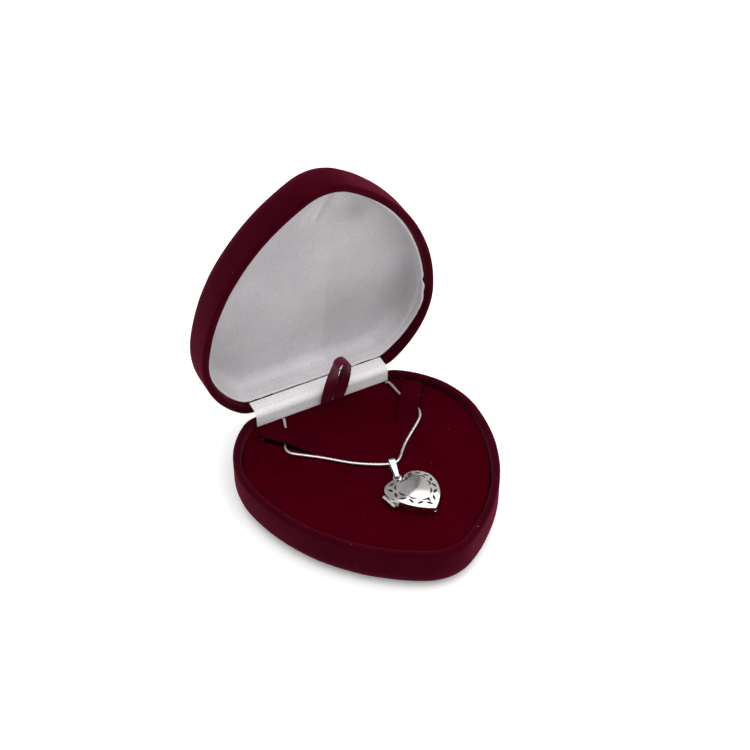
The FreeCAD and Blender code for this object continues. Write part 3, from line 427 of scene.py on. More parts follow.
def box_cutter(low, high):
    cutter = bmesh.new()
    bmesh.ops.create_cube(cutter, size=1.0)
    low = Vector(low)
    high = Vector(high)
    bmesh.ops.scale(cutter, vec=high - low, verts=cutter.verts)
    bmesh.ops.translate(cutter, vec=(low + high) / 2, verts=cutter.verts)
    return cutter


def rod_cutter(radius, half, middle):
    cutter = bmesh.new()
    lie_down = Matrix.Rotation(math.radians(90.0), 4, "Y")
    bmesh.ops.create_cone(
        cutter, segments=24, radius1=radius, radius2=radius, depth=2 * half, cap_ends=True,
        matrix=Matrix.Translation(middle) @ lie_down,
    )
    return cutter


def ruffle(bm, amount, pitch, seed):
    """Moves the surface in and out a little, as a glued cloth does."""
    bm.normal_update()
    shift = Vector((seed, seed * 1.7, seed * 0.6))
    for vertex in bm.verts:
        if vertex.co.z > 0.5:
            vertex.co += vertex.normal * amount * noise.noise(vertex.co / pitch + shift)


def velvet_cover(height):
    bm = bmesh.new()
    outer, inner = heart_skin(bm, cover_section(height))
    fill_in(bm, outer, 10)
    fill_in(bm, inner, 3)
    bmesh.ops.remove_doubles(bm, verts=bm.verts, dist=0.003)
    bmesh.ops.recalc_face_normals(bm, faces=bm.faces)
    half = HINGE_LENGTH / 2 + HINGE_ROOM
    strip_half = STRIP_WIDTH / 2 + HINGE_ROOM
    inside = BACK - WALL - 1.0
    flange_room = box_cutter((-half, inside, height - FLANGE_DEPTH), (half, BACK + 1.0, height + 1.0))
    barrel_room = rod_cutter(BARREL_ROOM, half, HINGE_AXIS)
    strip_room = box_cutter(
        (-strip_half, inside, FLOOR + STRIP_ROOM_FOOT), (strip_half, BACK - FLOOR, height + 1.1)
    )
    carve(bm, [flange_room, barrel_room, strip_room])
    return bm


def velvet_finish(name, deep, bright, haze, dust):
    """Flock velvet: short dark pile, pale at a glancing look, brushed in patches, with stray lint."""
    material, tree, shader, coords = new_material(name)
    brushed = noise_node(tree, coords, 70.0, 3.0)
    pile = noise_node(tree, coords, 3600.0, 2.0)
    patches = ramp_node(tree, brushed, [(0.30, deep), (0.72, bright)])
    fibres = ramp_node(tree, pile, [(0.25, grey(0.72)), (0.75, grey(1.25))])
    shade = add_node(tree, "ShaderNodeMix", data_type="RGBA", blend_type="MULTIPLY")
    shade.inputs["Factor"].default_value = 1.0
    tree.links.new(patches, shade.inputs[6])
    tree.links.new(fibres, shade.inputs[7])
    lint = add_node(tree, "ShaderNodeTexVoronoi", scale=240.0, randomness=1.0)
    tree.links.new(coords, lint.inputs["Vector"])
    speck = ramp_node(tree, lint.outputs["Distance"], [(0.0, (0.62, 0.40, 0.42)), (0.065, grey(0.0))])
    dusted = add_node(tree, "ShaderNodeMix", data_type="RGBA", blend_type="ADD")
    rare = noise_node(tree, coords, 110.0, 1.0)
    few = ramp_node(tree, rare, [(0.46, grey(0.0)), (0.58, grey(dust))])
    tree.links.new(few, dusted.inputs["Factor"])
    tree.links.new(shade.outputs[2], dusted.inputs[6])
    tree.links.new(speck, dusted.inputs[7])
    tree.links.new(dusted.outputs[2], shader.inputs["Base Color"])
    shader.inputs["Roughness"].default_value = 0.95
    shader.inputs["Specular IOR Level"].default_value = 0.0
    shader.inputs["Sheen Weight"].default_value = haze
    shader.inputs["Sheen Roughness"].default_value = 0.42
    shader.inputs["Sheen Tint"].default_value = (0.75, 0.14, 0.24, 1.0)
    bump_node(tree, shader, pile, 0.00018, 0.8)
    return material


box_velvet = velvet_finish("burgundy_flock", (0.026, 0.0004, 0.0034), (0.038, 0.0009, 0.0056), 0.22, 0.55)


def finished_piece(name, bm, material, smooth_angle=50.0):
    """A mesh modelled in millimetres becomes an object in metres, smooth but for its sharp folds."""
    bmesh.ops.scale(bm, vec=(MM, MM, MM), verts=bm.verts)
    mesh = bpy.data.meshes.new(name)
    bm.to_mesh(mesh)
    bm.free()
    mesh.shade_smooth()
    mesh.set_sharp_from_angle(angle=math.radians(smooth_angle))
    mesh.materials.append(material)
    piece = bpy.data.objects.new(name, mesh)
    bpy.context.collection.objects.link(piece)
    return piece


def fix_to(piece, body, slot, *nodes):
    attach(piece, body)
    if nodes:
        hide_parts(*nodes)


base_skin = velvet_cover(BASE_HEIGHT)
ruffle(base_skin, RUFFLE, RUFFLE_PITCH, BASE_SEED)
base_velvet = finished_piece("base_velvet_wrap", base_skin, box_velvet)
fix_to(base_velvet, "base", "burgundy_velvet", "base_velvet_cover", "base_velvet_bottom")


def moulded_finish(name, low, high, grain):
    """Dark matt plastic, paper or card: two close tones and a fine grain."""
    material, tree, shader, coords = new_material(name)
    cloud = ramp_node(tree, noise_node(tree, coords, 90.0), [(0.3, low), (0.7, high)])
    tree.links.new(cloud, shader.inputs["Base Color"])
    shader.inputs["Roughness"].default_value = 0.6
    bump_node(tree, shader, noise_node(tree, coords, 2500.0, 3.0), grain)
    return material


def dress(material, *nodes):
    for name in nodes:
        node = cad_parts[name]
        if not node.material_slots:
            node.data.materials.append(material)
        for slot in node.material_slots:
            slot.material = material


shell_plastic = moulded_finish("shell_plastic", (0.020, 0.008, 0.009), (0.028, 0.010, 0.012), 0.00004)
dress(shell_plastic, "base_shell", "lid_shell")
floor_lining = moulded_finish("floor_lining_paper", (0.060, 0.003, 0.010), (0.076, 0.004, 0.014), 0.00003)
dress(floor_lining, "base_floor_paper")

# Lid of the box: the same moulding and the same velvet wrap as the base, turned over onto it. It is carried
# by the hinge at the back and stands open.
LID_OPEN = math.radians(82.6)
turn_over = Matrix.Translation((0.0, 0.0, 2 * SEAM)) @ Matrix.Scale(-1.0, 4, (0.0, 0.0, 1.0))
swing_open = (
    Matrix.Translation(HINGE_AXIS) @ Matrix.Rotation(-LID_OPEN, 4, "X") @ Matrix.Translation(-HINGE_AXIS)
)


def as_lid(bm):
    """A half modelled opening upwards is turned over onto the base and swung open."""
    bmesh.ops.transform(bm, matrix=swing_open @ turn_over, verts=bm.verts)
    bmesh.ops.reverse_faces(bm, faces=bm.faces)


lid_skin = velvet_cover(BASE_HEIGHT)
ruffle(lid_skin, RUFFLE, RUFFLE_PITCH, LID_SEED)
as_lid(lid_skin)
lid_velvet = finished_piece("lid_velvet_wrap", lid_skin, box_velvet)
fix_to(lid_velvet, "lid", "burgundy_velvet", "lid_velvet_cover")

# Lining of the lid: white satin drawn over a thin pad and glued in as a shallow dish. Its raw edge runs a
# little below the rim, and the cloth has soft dents, gathers at the point and a loose fold on the right.
LINING = 1.0
LINING_TOP = BASE_HEIGHT - 3.4
LINING_LOW = FLOOR + 0.1
LINING_INSET = WALL + 0.1
LINING_BEND = 5.5
LINING_RINGS = 34
LINING_LIP = 0.4
WALL_STEPS = 8
SINK_START = 2.0
SINK_RUN = 5.0
EDGE_REACH = 3.0
GATHER = ((1.5, -26.0), (6.0, -34.0))
SMALL_GATHER = ((-2.5, -26.5), (1.5, -31.5))
FOLD_SIDE = 8.0
FOLD_FRONT = -6.0
FOLD_MIDDLE = 24.0
FOLD_SPAN = 18.0
RIDGE_HEIGHT = 10.2
PAINTED_LIGHT_AND_SHADE = "painted_light_and_shade"


def lining_section():
    """Section of the lining: over its edge, down its visible face and round to the bottom."""
    face = LINING_INSET + LINING
    low = LINING_LOW + LINING
    bend = LINING_BEND - LINING
    points = [(LINING_INSET, LINING_TOP - LINING_LIP)]
    points += [(LINING_INSET + 0.2, LINING_TOP), (face - 0.2, LINING_TOP)]
    wall_drop = LINING_TOP - LINING_LIP - low - bend
    for step in range(WALL_STEPS):
        points.append((face, LINING_TOP - LINING_LIP - wall_drop * step / WALL_STEPS))
    return points + quarter(face + bend, low + bend, bend, 0.0, -90.0, 12)


def back_section():
    points = [(LINING_INSET, LINING_TOP - LINING_LIP), (LINING_INSET, LINING_TOP - 2.4)]
    points += quarter(LINING_INSET + LINING_BEND, LINING_LOW + LINING_BEND, LINING_BEND, 0.0, -90.0, 5)
    return points


satin_dish = bmesh.new()
_, face_last = heart_skin(satin_dish, lining_section(), 2)
fill_in(satin_dish, face_last, LINING_RINGS)
dish_face = set(satin_dish.verts)
_, back_last = heart_skin(satin_dish, back_section(), 2)
fill_in(satin_dish, back_last, 3)


def bell(value, middle, width):
    return math.exp(-((value - middle) / width) ** 2)


def crease(x, y, first, last, width):
    """1 on a line between two places of the lining, falling off to both sides and beyond its ends."""
    run = Vector(last) - Vector(first)
    away = Vector((x, y)) - Vector(first)
    along = away.dot(run) / run.length_squared
    beside = (away - run * along).length
    past = max(-along, along - 1.0, 0.0) * run.length
    return bell(beside, 0.0, width) * bell(past, 0.0, 2.0 * width)


def satin_rise(x, y):
    """How far the lining stands up from a flat bottom, in millimetres."""
    soft = 0.30 * noise.noise(Vector((x, y, 0.0)) / 24.0 + Vector((4.0, 1.0, 0.0)))
    soft += 0.07 * noise.noise(Vector((x, y, 3.0)) / 8.0)
    gather = 1.5 * crease(x, y, *GATHER, 1.1)
    gather -= 1.0 * crease(x, y, (4.6, -27.0), (8.6, -34.5), 1.4)
    gather += 0.8 * crease(x, y, *SMALL_GATHER, 1.0)
    bump = 2.1 * bell(math.hypot(x - 15.5, y + 27.0), 0.0, 4.6)
    cove = 2.6 * max(0.0, (y - 24.0) / 20.0) ** 2
    corner = 0.50 * crease(x, y, (-24.0, 42.0), (-4.0, 32.5), 2.2)
    corner -= 0.35 * crease(x, y, (-27.0, 36.0), (-8.0, 28.0), 2.6)
    swell = 0.9 * bell(y, 14.0, 22.0) * bell(x, 4.0, 26.0)
    return soft + gather + bump + cove + corner + swell


def beside_fold(x, y):
    """Whether a place lies on the right, where the cloth is loose."""
    return x > FOLD_SIDE and y > FOLD_FRONT


def fold_pull(y):
    return bell(y, FOLD_MIDDLE, FOLD_SPAN)


def satin_painted_light(x, y, z):
    """Painted light and shade on the lining, 0.5 is plain: painted highlights on the gathers, a spot by the
    point, the ridge and the cove by the hinge; painted shade in a crease, a hollow, the valley under the
    ridge and towards the point.
    """
    tone = 0.5 + 0.30 * crease(x, y, *GATHER, 1.0)
    tone -= 0.34 * crease(x, y, (4.2, -27.0), (8.2, -34.5), 1.3)
    tone += 0.24 * crease(x, y, *SMALL_GATHER, 0.8)
    tone += 0.18 * bell(math.hypot(x - 12.0, y + 31.0), 0.0, 3.6)
    tone -= 0.34 * bell(math.hypot(x - 19.0, y + 25.0), 0.0, 5.5)
    # Painted light towards the cove by the hinge, painted shade towards the point.
    tone += 0.34 * max(0.0, min(1.0, (y - 30.0) / 12.0)) - 0.10 * max(0.0, min(1.0, (4.0 - y) / 20.0))
    # Painted highlight along the ridge of the loose fold, painted shade in the valley below it.
    if beside_fold(x, y):
        tone += fold_pull(y) * (0.45 * bell(z, RIDGE_HEIGHT + 0.3, 0.6) - 0.42 * bell(z, 5.2, 2.2))
    return max(0.0, min(1.0, tone))


# Each point of the lining keeps its painted light and shade in a layer that the satin's colour reads.
painted_light_layer = satin_dish.verts.layers.float.new(PAINTED_LIGHT_AND_SHADE)
satin_dish.normal_update()
for vertex in satin_dish.verts:
    x, y, z = vertex.co
    loose = beside_fold(x, y)
    vertex[painted_light_layer] = satin_painted_light(x, y, z)
    if vertex in dish_face:
        sunk = max(0.0, min(1.0, (LINING_TOP - SINK_START - z) / SINK_RUN))
        vertex.co.z += satin_rise(x, y) * sunk
        if loose:
            stretch = 0.16 * math.sin(y * 2.6 + 2.0 * noise.noise(Vector((y / 3.0, z / 3.0, 0.0))))
            ridge = (1.5 + 1.6 * stretch) * bell(z, RIDGE_HEIGHT, 0.8) - 0.6 * bell(z, 6.0, 1.8)
            vertex.co += Vector((-x, HEART_MIDDLE.y - y, 0.0)).normalized() * ridge * fold_pull(y)
    if z > LINING_TOP - EDGE_REACH:
        wave = 0.22 * noise.noise(Vector((x, y, 0.0)) / 6.0) + 0.14 * noise.noise(Vector((x, y, 5.0)) / 2.2)
        if loose:
            wave += 1.7 * bell(y, 19.0, 13.0) - 1.8 * bell(y, 11.6, 1.3) - 0.7 * bell(y, 17.5, 2.2)
        vertex.co.z += wave * (z - LINING_TOP + EDGE_REACH) / EDGE_REACH
bmesh.ops.remove_doubles(satin_dish, verts=satin_dish.verts, dist=0.01)
bmesh.ops.recalc_face_normals(satin_dish, faces=satin_dish.faces)


def satin_finish(name, low, high, thread, gloss_low, gloss_high, haze, haze_tint):
    """Satin: long floats of fine thread, a soft gloss and slow changes of tone."""
    material, tree, shader, coords = new_material(name)
    tone = ramp_node(tree, noise_node(tree, coords, 55.0, 3.0), [(0.3, low), (0.7, high)])
    weft = add_node(tree, "ShaderNodeTexWave", bands_direction="X", scale=thread, distortion=1.2, detail=1.0)
    warp = add_node(
        tree, "ShaderNodeTexWave", bands_direction="Z", scale=thread * 0.45, distortion=1.6, detail=1.0,
    )
    tree.links.new(coords, weft.inputs["Vector"])
    tree.links.new(coords, warp.inputs["Vector"])
    weave = add_node(tree, "ShaderNodeMix", data_type="FLOAT")
    weave.inputs["Factor"].default_value = 0.4
    tree.links.new(weft.outputs["Fac"], weave.inputs[2])
    tree.links.new(warp.outputs["Fac"], weave.inputs[3])
    threads = ramp_node(tree, weave.outputs[0], [(0.2, grey(0.93)), (0.8, grey(1.03))])
    cloth = add_node(tree, "ShaderNodeMix", data_type="RGBA", blend_type="MULTIPLY")
    cloth.inputs["Factor"].default_value = 1.0
    tree.links.new(tone, cloth.inputs[6])
    tree.links.new(threads, cloth.inputs[7])
    floats = ramp_node(tree, noise_node(tree, coords, 2400.0, 2.0), [(0.3, grey(0.82)), (0.7, grey(1.10))])
    grained = add_node(tree, "ShaderNodeMix", data_type="RGBA", blend_type="MULTIPLY")
    grained.inputs["Factor"].default_value = 1.0
    tree.links.new(cloth.outputs[2], grained.inputs[6])
    tree.links.new(floats, grained.inputs[7])
    tree.links.new(grained.outputs[2], shader.inputs["Base Color"])
    wear = noise_node(tree, coords, 420.0, 3.0)
    gloss = ramp_node(tree, wear, [(0.3, grey(gloss_low)), (0.7, grey(gloss_high))])
    tree.links.new(gloss, shader.inputs["Roughness"])
    shader.inputs["Sheen Weight"].default_value = haze
    shader.inputs["Sheen Roughness"].default_value = 0.35
    shader.inputs["Sheen Tint"].default_value = (*haze_tint, 1.0)
    bump_node(tree, shader, weave.outputs[0], 0.00003, 0.6)
    return material


SATIN_LOW = (0.50, 0.48, 0.50)
SATIN_HIGH = (0.57, 0.55, 0.57)
SATIN_HAZE = (1.0, 0.97, 0.98)
# Lighter tones of the same white satin, for the hinge strip and the lining's turned top edge: painted light.
PAINTED_LIT_SATIN_LOW = (0.80, 0.785, 0.79)
PAINTED_LIT_SATIN_HIGH = (0.88, 0.865, 0.87)
white_satin = satin_finish("white_satin", SATIN_LOW, SATIN_HIGH, 1900.0, 0.38, 0.55, 0.22, SATIN_HAZE)
# The lining's satin colour is multiplied by the painted highlights and painted shade of its folds.
tree = white_satin.node_tree
shader = tree.nodes["Principled BSDF"]
weave_colour = shader.inputs["Base Color"].links[0].from_socket
painted_light_attribute = add_node(tree, "ShaderNodeAttribute", attribute_name=PAINTED_LIGHT_AND_SHADE)
painted_light_ramp = ramp_node(tree, painted_light_attribute.outputs["Fac"], [(0.0, grey(0.72)), (0.5, grey(1.0)), (1.0, grey(1.30))])
painted_light_mix = add_node(tree, "ShaderNodeMix", data_type="RGBA", blend_type="MULTIPLY")
painted_light_mix.inputs["Factor"].default_value = 1.0
tree.links.new(weave_colour, painted_light_mix.inputs[6])
tree.links.new(painted_light_ramp, painted_light_mix.inputs[7])
tree.links.new(painted_light_mix.outputs[2], shader.inputs["Base Color"])
# The lining's turned top edge takes the lighter satin: painted light.
for face in satin_dish.faces:
    if all(v.co.z > LINING_TOP - 1.2 for v in face.verts) and face.normal.z > 0.6:
        face.material_index = 1
painted_lit_edge_satin = satin_finish("turned_satin_edge_painted_lit", PAINTED_LIT_SATIN_LOW, PAINTED_LIT_SATIN_HIGH, 1900.0, 0.4, 0.55, 0.2, SATIN_HAZE)
as_lid(satin_dish)
lid_lining = finished_piece("lid_satin_pad", satin_dish, white_satin, 80.0)
lid_lining.data.materials.append(painted_lit_edge_satin)
fix_to(lid_lining, "lid", "white_satin", "lid_satin_lining")

# Hinge: two stamped leaves of nickelled steel with five knuckles on one pin. Each leaf is riveted through the
# back wall of its shell.


def steel_finish(name):
    """Nickelled steel strip: drawn lines along the barrel and a dull gloss."""
    material, tree, shader, coords = new_material(name)
    drawn = add_node(tree, "ShaderNodeMapping")
    drawn.inputs["Scale"].default_value = (0.05, 1.0, 1.0)
    tree.links.new(coords, drawn.inputs["Vector"])
    lines = noise_node(tree, drawn.outputs["Vector"], 2600.0, 3.0)
    tone = ramp_node(tree, lines, [(0.3, (0.52, 0.51, 0.49)), (0.7, (0.66, 0.65, 0.62))])
    tree.links.new(tone, shader.inputs["Base Color"])
    shader.inputs["Metallic"].default_value = 1.0
    gloss = ramp_node(tree, lines, [(0.2, grey(0.28)), (0.8, grey(0.44))])
    tree.links.new(gloss, shader.inputs["Roughness"])
    bump_node(tree, shader, lines, 0.000015)
    return material


hinge_steel = steel_finish("hinge_steel")
dress(hinge_steel, "hinge_leaf_base", "hinge_leaf_lid", "hinge_pin", "hinge_rivets_base", "hinge_rivets_lid")

# Strip over the hinge: a band of white satin that hides the leaves. It is glued to the base and to the lid
# and has a soft fold on the hinge line.
STRIP = 0.4
STRIP_BEND = 3.0
STRIP_REACH = 3.2
STRIP_PLAY = 0.08
STRIP_STEPS = 40
RUN_STEPS = 8
FOLD_STEPS = 10
LEAF = 0.4
strip_face = HINGE_OUTSET + FLOOR + LEAF + STRIP_PLAY + STRIP
strip_bend_z = SEAM + (strip_face - STRIP_BEND) * math.tan(LID_OPEN / 2)
strip_y = HINGE_AXIS.y - strip_face + STRIP / 2
strip_foot = SEAM - STRIP_REACH
strip_run = strip_bend_z - strip_foot
fold_middle = Vector((0.0, HINGE_AXIS.y - strip_face + STRIP_BEND, strip_bend_z))
strip_up = Vector((0.0, math.sin(LID_OPEN), math.cos(LID_OPEN)))
satin_strip = bmesh.new()
strip_start = satin_strip.verts.new((-STRIP_WIDTH / 2, strip_y, strip_foot))
bmesh.ops.spin(
    satin_strip, geom=[strip_start], steps=STRIP_STEPS, dvec=(STRIP_WIDTH / STRIP_STEPS, 0, 0),
    axis=(1, 0, 0), angle=0.0,
)
strip_line = list(satin_strip.edges)
rise = bmesh.ops.spin(
    satin_strip, geom=strip_line + list(satin_strip.verts), steps=RUN_STEPS,
    dvec=(0, 0, strip_run / RUN_STEPS), axis=(0, 0, 1), angle=0.0,
)
bend = bmesh.ops.spin(
    satin_strip, geom=rise["geom_last"], cent=fold_middle, axis=(-1, 0, 0), steps=FOLD_STEPS, angle=LID_OPEN,
)
bmesh.ops.spin(
    satin_strip, geom=bend["geom_last"], steps=RUN_STEPS, dvec=strip_up * (strip_run / RUN_STEPS),
    axis=(0, 0, 1), angle=0.0,
)
bmesh.ops.remove_doubles(satin_strip, verts=satin_strip.verts, dist=0.005)
bmesh.ops.recalc_face_normals(satin_strip, faces=satin_strip.faces)
for vertex in satin_strip.verts:
    x, y, z = vertex.co
    near_fold = bell(z, strip_bend_z + 1.2, 2.2)
    vertex.co.y += -0.09 * near_fold * (1.0 + noise.noise(Vector((x / 7.0, 0.0, 1.0))))
    vertex.co.x += 0.16 * noise.noise(Vector((0.0, y / 2.5, z / 2.5))) * abs(x) / (STRIP_WIDTH / 2)
bmesh.ops.solidify(satin_strip, geom=satin_strip.faces[:], thickness=STRIP * 0.55)
# The strip takes the lighter tones of the white satin: painted light.
painted_lit_strip_satin = satin_finish("painted_lit_strip_satin", PAINTED_LIT_SATIN_LOW, PAINTED_LIT_SATIN_HIGH, 1900.0, 0.36, 0.5, 0.2, SATIN_HAZE)
hinge_strip = finished_piece("hinge_strip_cloth", satin_strip, painted_lit_strip_satin, 60.0)
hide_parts("hinge_satin_strip")
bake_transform(hinge_strip)

# Insert: velvet laid on card, cut round two tongues and notched at the back edge for the chain. It stands on
# a card collar inside the base.
PAD_INSET = WALL + 0.45
PAD_VELVET = 0.8
PAD_ROUND = 0.5
FLAP_LENGTH = 23.0
FLAP_WIDTH = 7.8
FLAP_SLIT = 0.3
FLAP_CORNER = 3.4
FLAP_THICK = 0.6
FLAPS = {"left": (-14.4, -25.4, 130.0), "right": (21.5, -28.7, 51.9)}
FLAP_ROOT_ROOM = 0.36
NOTCHES = (-18.2, 26.5)
NOTCH_HALF = 1.1
NOTCH_DEPTH = 2.6
CUT_BELOW = 3.0
CUT_ABOVE = 1.0


def flap_place(side):
    x, from_back, heading = FLAPS[side]
    spot = Matrix.Translation((x, BACK + from_back, PAD_TOP))
    return spot @ Matrix.Rotation(math.radians(heading), 4, "Z")


pad_section = [(PAD_INSET, PAD_TOP - PAD_VELVET)]
pad_section += quarter(PAD_INSET + PAD_ROUND, PAD_TOP - PAD_ROUND, PAD_ROUND, 0.0, 90.0, 4)
pad_skin = bmesh.new()
pad_under, pad_over = heart_skin(pad_skin, pad_section)
fill_in(pad_skin, pad_under, 2)
fill_in(pad_skin, pad_over, 16)
bmesh.ops.remove_doubles(pad_skin, verts=pad_skin.verts, dist=0.003)
bmesh.ops.recalc_face_normals(pad_skin, faces=pad_skin.faces)
for vertex in pad_skin.verts:
    if vertex.co.z > PAD_TOP - 0.01:
        dent = noise.noise(Vector((vertex.co.x, vertex.co.y, 0.0)) / 17.0)
        vertex.co.z -= 0.05 + 0.05 * dent
pad_cutters = []
for side in FLAPS:
    half = FLAP_WIDTH / 2 + FLAP_SLIT
    far = FLAP_LENGTH + FLAP_SLIT
    window = box_cutter((-FLAP_ROOT_ROOM, -half, -CUT_BELOW), (far, half, CUT_ABOVE))
    upright = [e for e in window.edges if all(v.co.x > far - 0.01 for v in e.verts)]
    upright = [e for e in upright if abs(e.verts[0].co.z - e.verts[1].co.z) > 1.0]
    bmesh.ops.bevel(
        window, geom=upright, affect="EDGES", offset=FLAP_CORNER + FLAP_SLIT, segments=8, profile=0.5,
        material=-1,
    )
    bmesh.ops.transform(window, matrix=flap_place(side), verts=window.verts)
    pad_cutters.append(window)
for x in NOTCHES:
    notch_low = (x - NOTCH_HALF, BACK - PAD_INSET - NOTCH_DEPTH, PAD_TOP - CUT_BELOW)
    notch_high = (x + NOTCH_HALF, BACK, PAD_TOP + CUT_ABOVE)
    pad_cutters.append(box_cutter(notch_low, notch_high))
carve(pad_skin, pad_cutters)
pad_velvet = velvet_finish("pad_flock", (0.034, 0.0001, 0.0025), (0.044, 0.0002, 0.0034), 0.02, 0.16)
insert_velvet = finished_piece("insert_velvet_top", pad_skin, pad_velvet, 40.0)
fix_to(insert_velvet, "insert", "burgundy_velvet", "insert_velvet_face")
pad_card = moulded_finish("insert_card", (0.050, 0.002, 0.007), (0.064, 0.003, 0.010), 0.00003)
dress(pad_card, "insert_card", "insert_collar")

# Tongues: two strips of velvet-faced card, left standing on a fold at one end, with a rounded free end. They
# spring up a little over the chain.
FLAP_ROOT_LAP = 0.15
FLAP_ROOT_SLOPE = math.radians(17.0)
FLAP_END_SLOPE = math.radians(-7.0)
FLAP_EDGE = 0.2
FLAP_CUTS = 14
flap_bow = FLAP_LENGTH / (FLAP_ROOT_SLOPE - FLAP_END_SLOPE)


def tongue(side):
    bm = bmesh.new()
    half = FLAP_WIDTH / 2
    root = bm.verts.new((-FLAP_ROOT_LAP, -half, 0.0))
    bmesh.ops.spin(bm, geom=[root], steps=1, dvec=(0, FLAP_WIDTH, 0), axis=(0, 0, 1), angle=0.0)
    bmesh.ops.spin(
        bm, geom=bm.verts[:] + bm.edges[:], steps=1, dvec=(FLAP_LENGTH + FLAP_ROOT_LAP, 0, 0),
        axis=(0, 0, 1), angle=0.0,
    )
    free = [v for v in bm.verts if v.co.x > 1.0]
    bmesh.ops.bevel(
        bm, geom=free, affect="VERTICES", offset=FLAP_CORNER, segments=7, profile=0.5, material=-1,
        offset_type="OFFSET",
    )
    made = bmesh.ops.extrude_face_region(bm, geom=bm.faces[:])["geom"]
    lower = [g for g in made if isinstance(g, bmesh.types.BMVert)]
    bmesh.ops.translate(bm, vec=(0, 0, -FLAP_THICK), verts=lower)
    bmesh.ops.recalc_face_normals(bm, faces=bm.faces)
    rim = [e for e in bm.edges if e.calc_face_angle(0.0) > 0.8 and any(v.co.x > 0.0 for v in e.verts)]
    bmesh.ops.bevel(
        bm, geom=rim, affect="EDGES", offset=FLAP_EDGE, segments=3, profile=0.5, material=-1,
        clamp_overlap=True,
    )
    for cut in range(1, FLAP_CUTS):
        plane = Vector((FLAP_LENGTH * cut / FLAP_CUTS, 0.0, 0.0))
        bmesh.ops.bisect_plane(
            bm, geom=bm.verts[:] + bm.edges[:] + bm.faces[:], plane_co=plane, plane_no=(1, 0, 0)
        )
    for vertex in bm.verts:
        along = max(vertex.co.x, 0.0) / FLAP_LENGTH
        vertex.co.z += 0.05 * noise.noise(Vector((vertex.co.x / 5.0, vertex.co.y / 5.0, 0.0)))
        vertex.co.z -= 0.12 * along * (1.0 - along) * 4.0 * (vertex.co.y / half) ** 2
        slope = FLAP_ROOT_SLOPE + (FLAP_END_SLOPE - FLAP_ROOT_SLOPE) * along
        reach = flap_bow + vertex.co.z + FLAP_THICK / 2
        lap = min(vertex.co.x, 0.0)
        vertex.co.x = flap_bow * math.sin(FLAP_ROOT_SLOPE) - reach * math.sin(slope) + lap
        vertex.co.z = reach * math.cos(slope) - flap_bow * math.cos(FLAP_ROOT_SLOPE) - FLAP_THICK / 2
    bmesh.ops.transform(bm, matrix=flap_place(side), verts=bm.verts)
    return bm


flap_velvet = velvet_finish("tongue_flock", (0.030, 0.0001, 0.0026), (0.040, 0.0003, 0.0038), 0.05, 0.16)
for side in FLAPS:
    flap_piece = finished_piece(f"flap_{side}_velvet", tongue(side), flap_velvet, 50.0)
    fix_to(flap_piece, f"flap_{side}", "burgundy_velvet", f"flap_{side}")

# Ribbon pull: a loop of burgundy satin ribbon that lifts the insert out. Both its ends are sewn into the back
# edge of the insert.
RIBBON_SPREAD = 5.2
RIBBON_HEIGHT = 20.5
RIBBON_CROWN = 2.9
RIBBON_LEAN = Vector((3.2, -2.75, 0.0))
CROWN_SHARE = 0.2
RIBBON_WIDTH = 4.6
RIBBON_THICK = 0.24
RIBBON_FOLD = Vector((2.7, BACK - PAD_INSET - 1.2, PAD_TOP + 0.7))
QUARTER_TURN = math.radians(90.0)


def ribbon_spot(share, beside):
    """A place on the loop: share runs -1 to 1 from foot to foot, beside -1 to 1 across the ribbon."""
    side = 1.0 if share > 0.0 else -1.0
    drop = max(abs(share) - CROWN_SHARE, 0.0) / (1.0 - CROWN_SHARE)
    bend = min(abs(share) / CROWN_SHARE, 1.0) * QUARTER_TURN
    foot_x = RIBBON_CROWN + (RIBBON_SPREAD / 2 - RIBBON_CROWN) * drop ** 2
    height = (RIBBON_HEIGHT - RIBBON_CROWN) * (1.0 - drop) + RIBBON_CROWN * math.cos(bend)
    outwards = Vector((side * math.sin(bend), 0.0, math.cos(bend)))
    twist = QUARTER_TURN * (1.0 - drop)
    across = Vector((0.0, math.sin(twist), 0.0)) - outwards * math.cos(twist) * side
    lean = RIBBON_LEAN * (1.0 - drop)
    middle = RIBBON_FOLD + Vector((side * foot_x * math.sin(bend), 0.0, height)) + lean
    cup = outwards * 0.14 * beside ** 2 * (1.0 - drop)
    return middle + across.normalized() * beside * RIBBON_WIDTH / 2 - cup


band = bmesh.new()
bmesh.ops.create_grid(band, x_segments=72, y_segments=8, size=1.0)
for vertex in band.verts:
    share, beside = vertex.co.xy
    sway = 0.16 * noise.noise(Vector((share * 3.0, beside * 0.7, 2.0))) * (1.0 - abs(share))
    vertex.co = ribbon_spot(share, beside) + Vector((sway, sway, 0.0))
bmesh.ops.recalc_face_normals(band, faces=band.faces)
bmesh.ops.solidify(band, geom=band.faces[:], thickness=RIBBON_THICK)
RIBBON_LOW = (0.064, 0.002, 0.011)
RIBBON_HIGH = (0.092, 0.003, 0.018)
RIBBON_HAZE = (0.85, 0.22, 0.36)
ribbon_satin = satin_finish("ribbon_satin", RIBBON_LOW, RIBBON_HIGH, 2100.0, 0.30, 0.42, 0.45, RIBBON_HAZE)
shader = ribbon_satin.node_tree.nodes["Principled BSDF"]
shader.inputs["Specular IOR Level"].default_value = 0.45
shader.inputs["Specular Tint"].default_value = (1.0, 0.35, 0.5, 1.0)
ribbon_piece = finished_piece("ribbon_loop", band, ribbon_satin, 60.0)
fix_to(ribbon_piece, "ribbon", "burgundy_satin", "ribbon_pull")

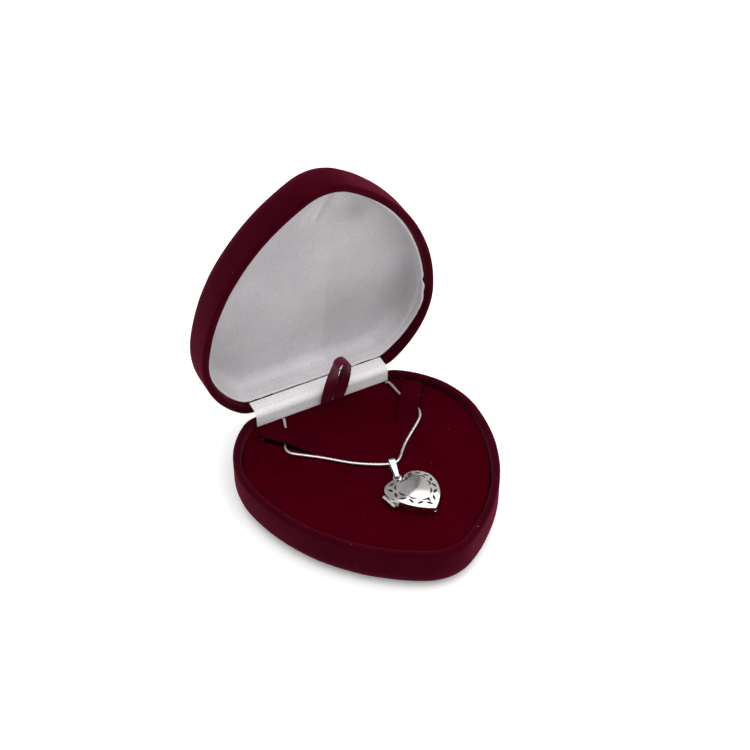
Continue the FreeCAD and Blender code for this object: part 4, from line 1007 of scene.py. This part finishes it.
# Fittings of the chain: silver end caps, a spring ring clasp with a sliding bolt and the ring it closes on.
# They lie with the coil under the insert.
fitting_silver = silver_finish("fitting_silver", SILVER, 0.10, 0.22, 0.000003)


def polished_copy(node, material, smooth_angle=28.0):
    """The node's own shape with its seams closed, so the polish runs smoothly round it."""
    bm = bmesh.new()
    bm.from_mesh(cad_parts[node].data)
    bmesh.ops.remove_doubles(bm, verts=bm.verts, dist=1e-6)
    bmesh.ops.scale(bm, vec=(1 / MM, 1 / MM, 1 / MM), verts=bm.verts)
    return finished_piece(f"{node}_polished", bm, material, smooth_angle)


dress(fitting_silver, "chain_end_caps", "clasp_body", "clasp_bolt", "end_ring")

# Bail, jump ring and eye: a tapered silver band folded over the chain, a round ring through it, and the eye
# on the locket's top that the ring holds.
for node, body in (("bail", "bail"), ("jump_ring", "bail"), ("locket_eye", "locket")):
    fitting = polished_copy(node, fitting_silver)
    fix_to(fitting, body, "silver", node)

# Locket: two stamped silver halves on a three-knuckle hinge with a pin. The front is pierced over a dark
# plate, and each half holds a photo frame.
LOCKET_TONE = (0.67, 0.66, 0.64)
locket_silver = silver_finish("locket_silver", LOCKET_TONE, 0.14, 0.24, 0.000003)
LOCKET_PIECES = {"locket_back": "locket", "locket_front": "locket_front", "locket_hinge_pin": "locket"}
for node, body in LOCKET_PIECES.items():
    half_piece = polished_copy(node, locket_silver)
    fix_to(half_piece, body, "silver", node)


def tarnish_finish(name):
    """Oxidised silver: nearly black, with a faint blue-brown cloud and a dull gloss."""
    material, tree, shader, coords = new_material(name)
    cloud = noise_node(tree, coords, 700.0, 4.0)
    tone = ramp_node(tree, cloud, [(0.3, (0.018, 0.017, 0.018)), (0.7, (0.05, 0.045, 0.042))])
    tree.links.new(tone, shader.inputs["Base Color"])
    shader.inputs["Metallic"].default_value = 0.6
    gloss = ramp_node(tree, cloud, [(0.3, grey(0.45)), (0.7, grey(0.62))])
    tree.links.new(gloss, shader.inputs["Roughness"])
    bump_node(tree, shader, cloud, 0.00001)
    return material


dark_silver = tarnish_finish("oxidised_silver")
dress(dark_silver, "locket_backing")
dress(fitting_silver, "photo_frame_front", "photo_frame_back")
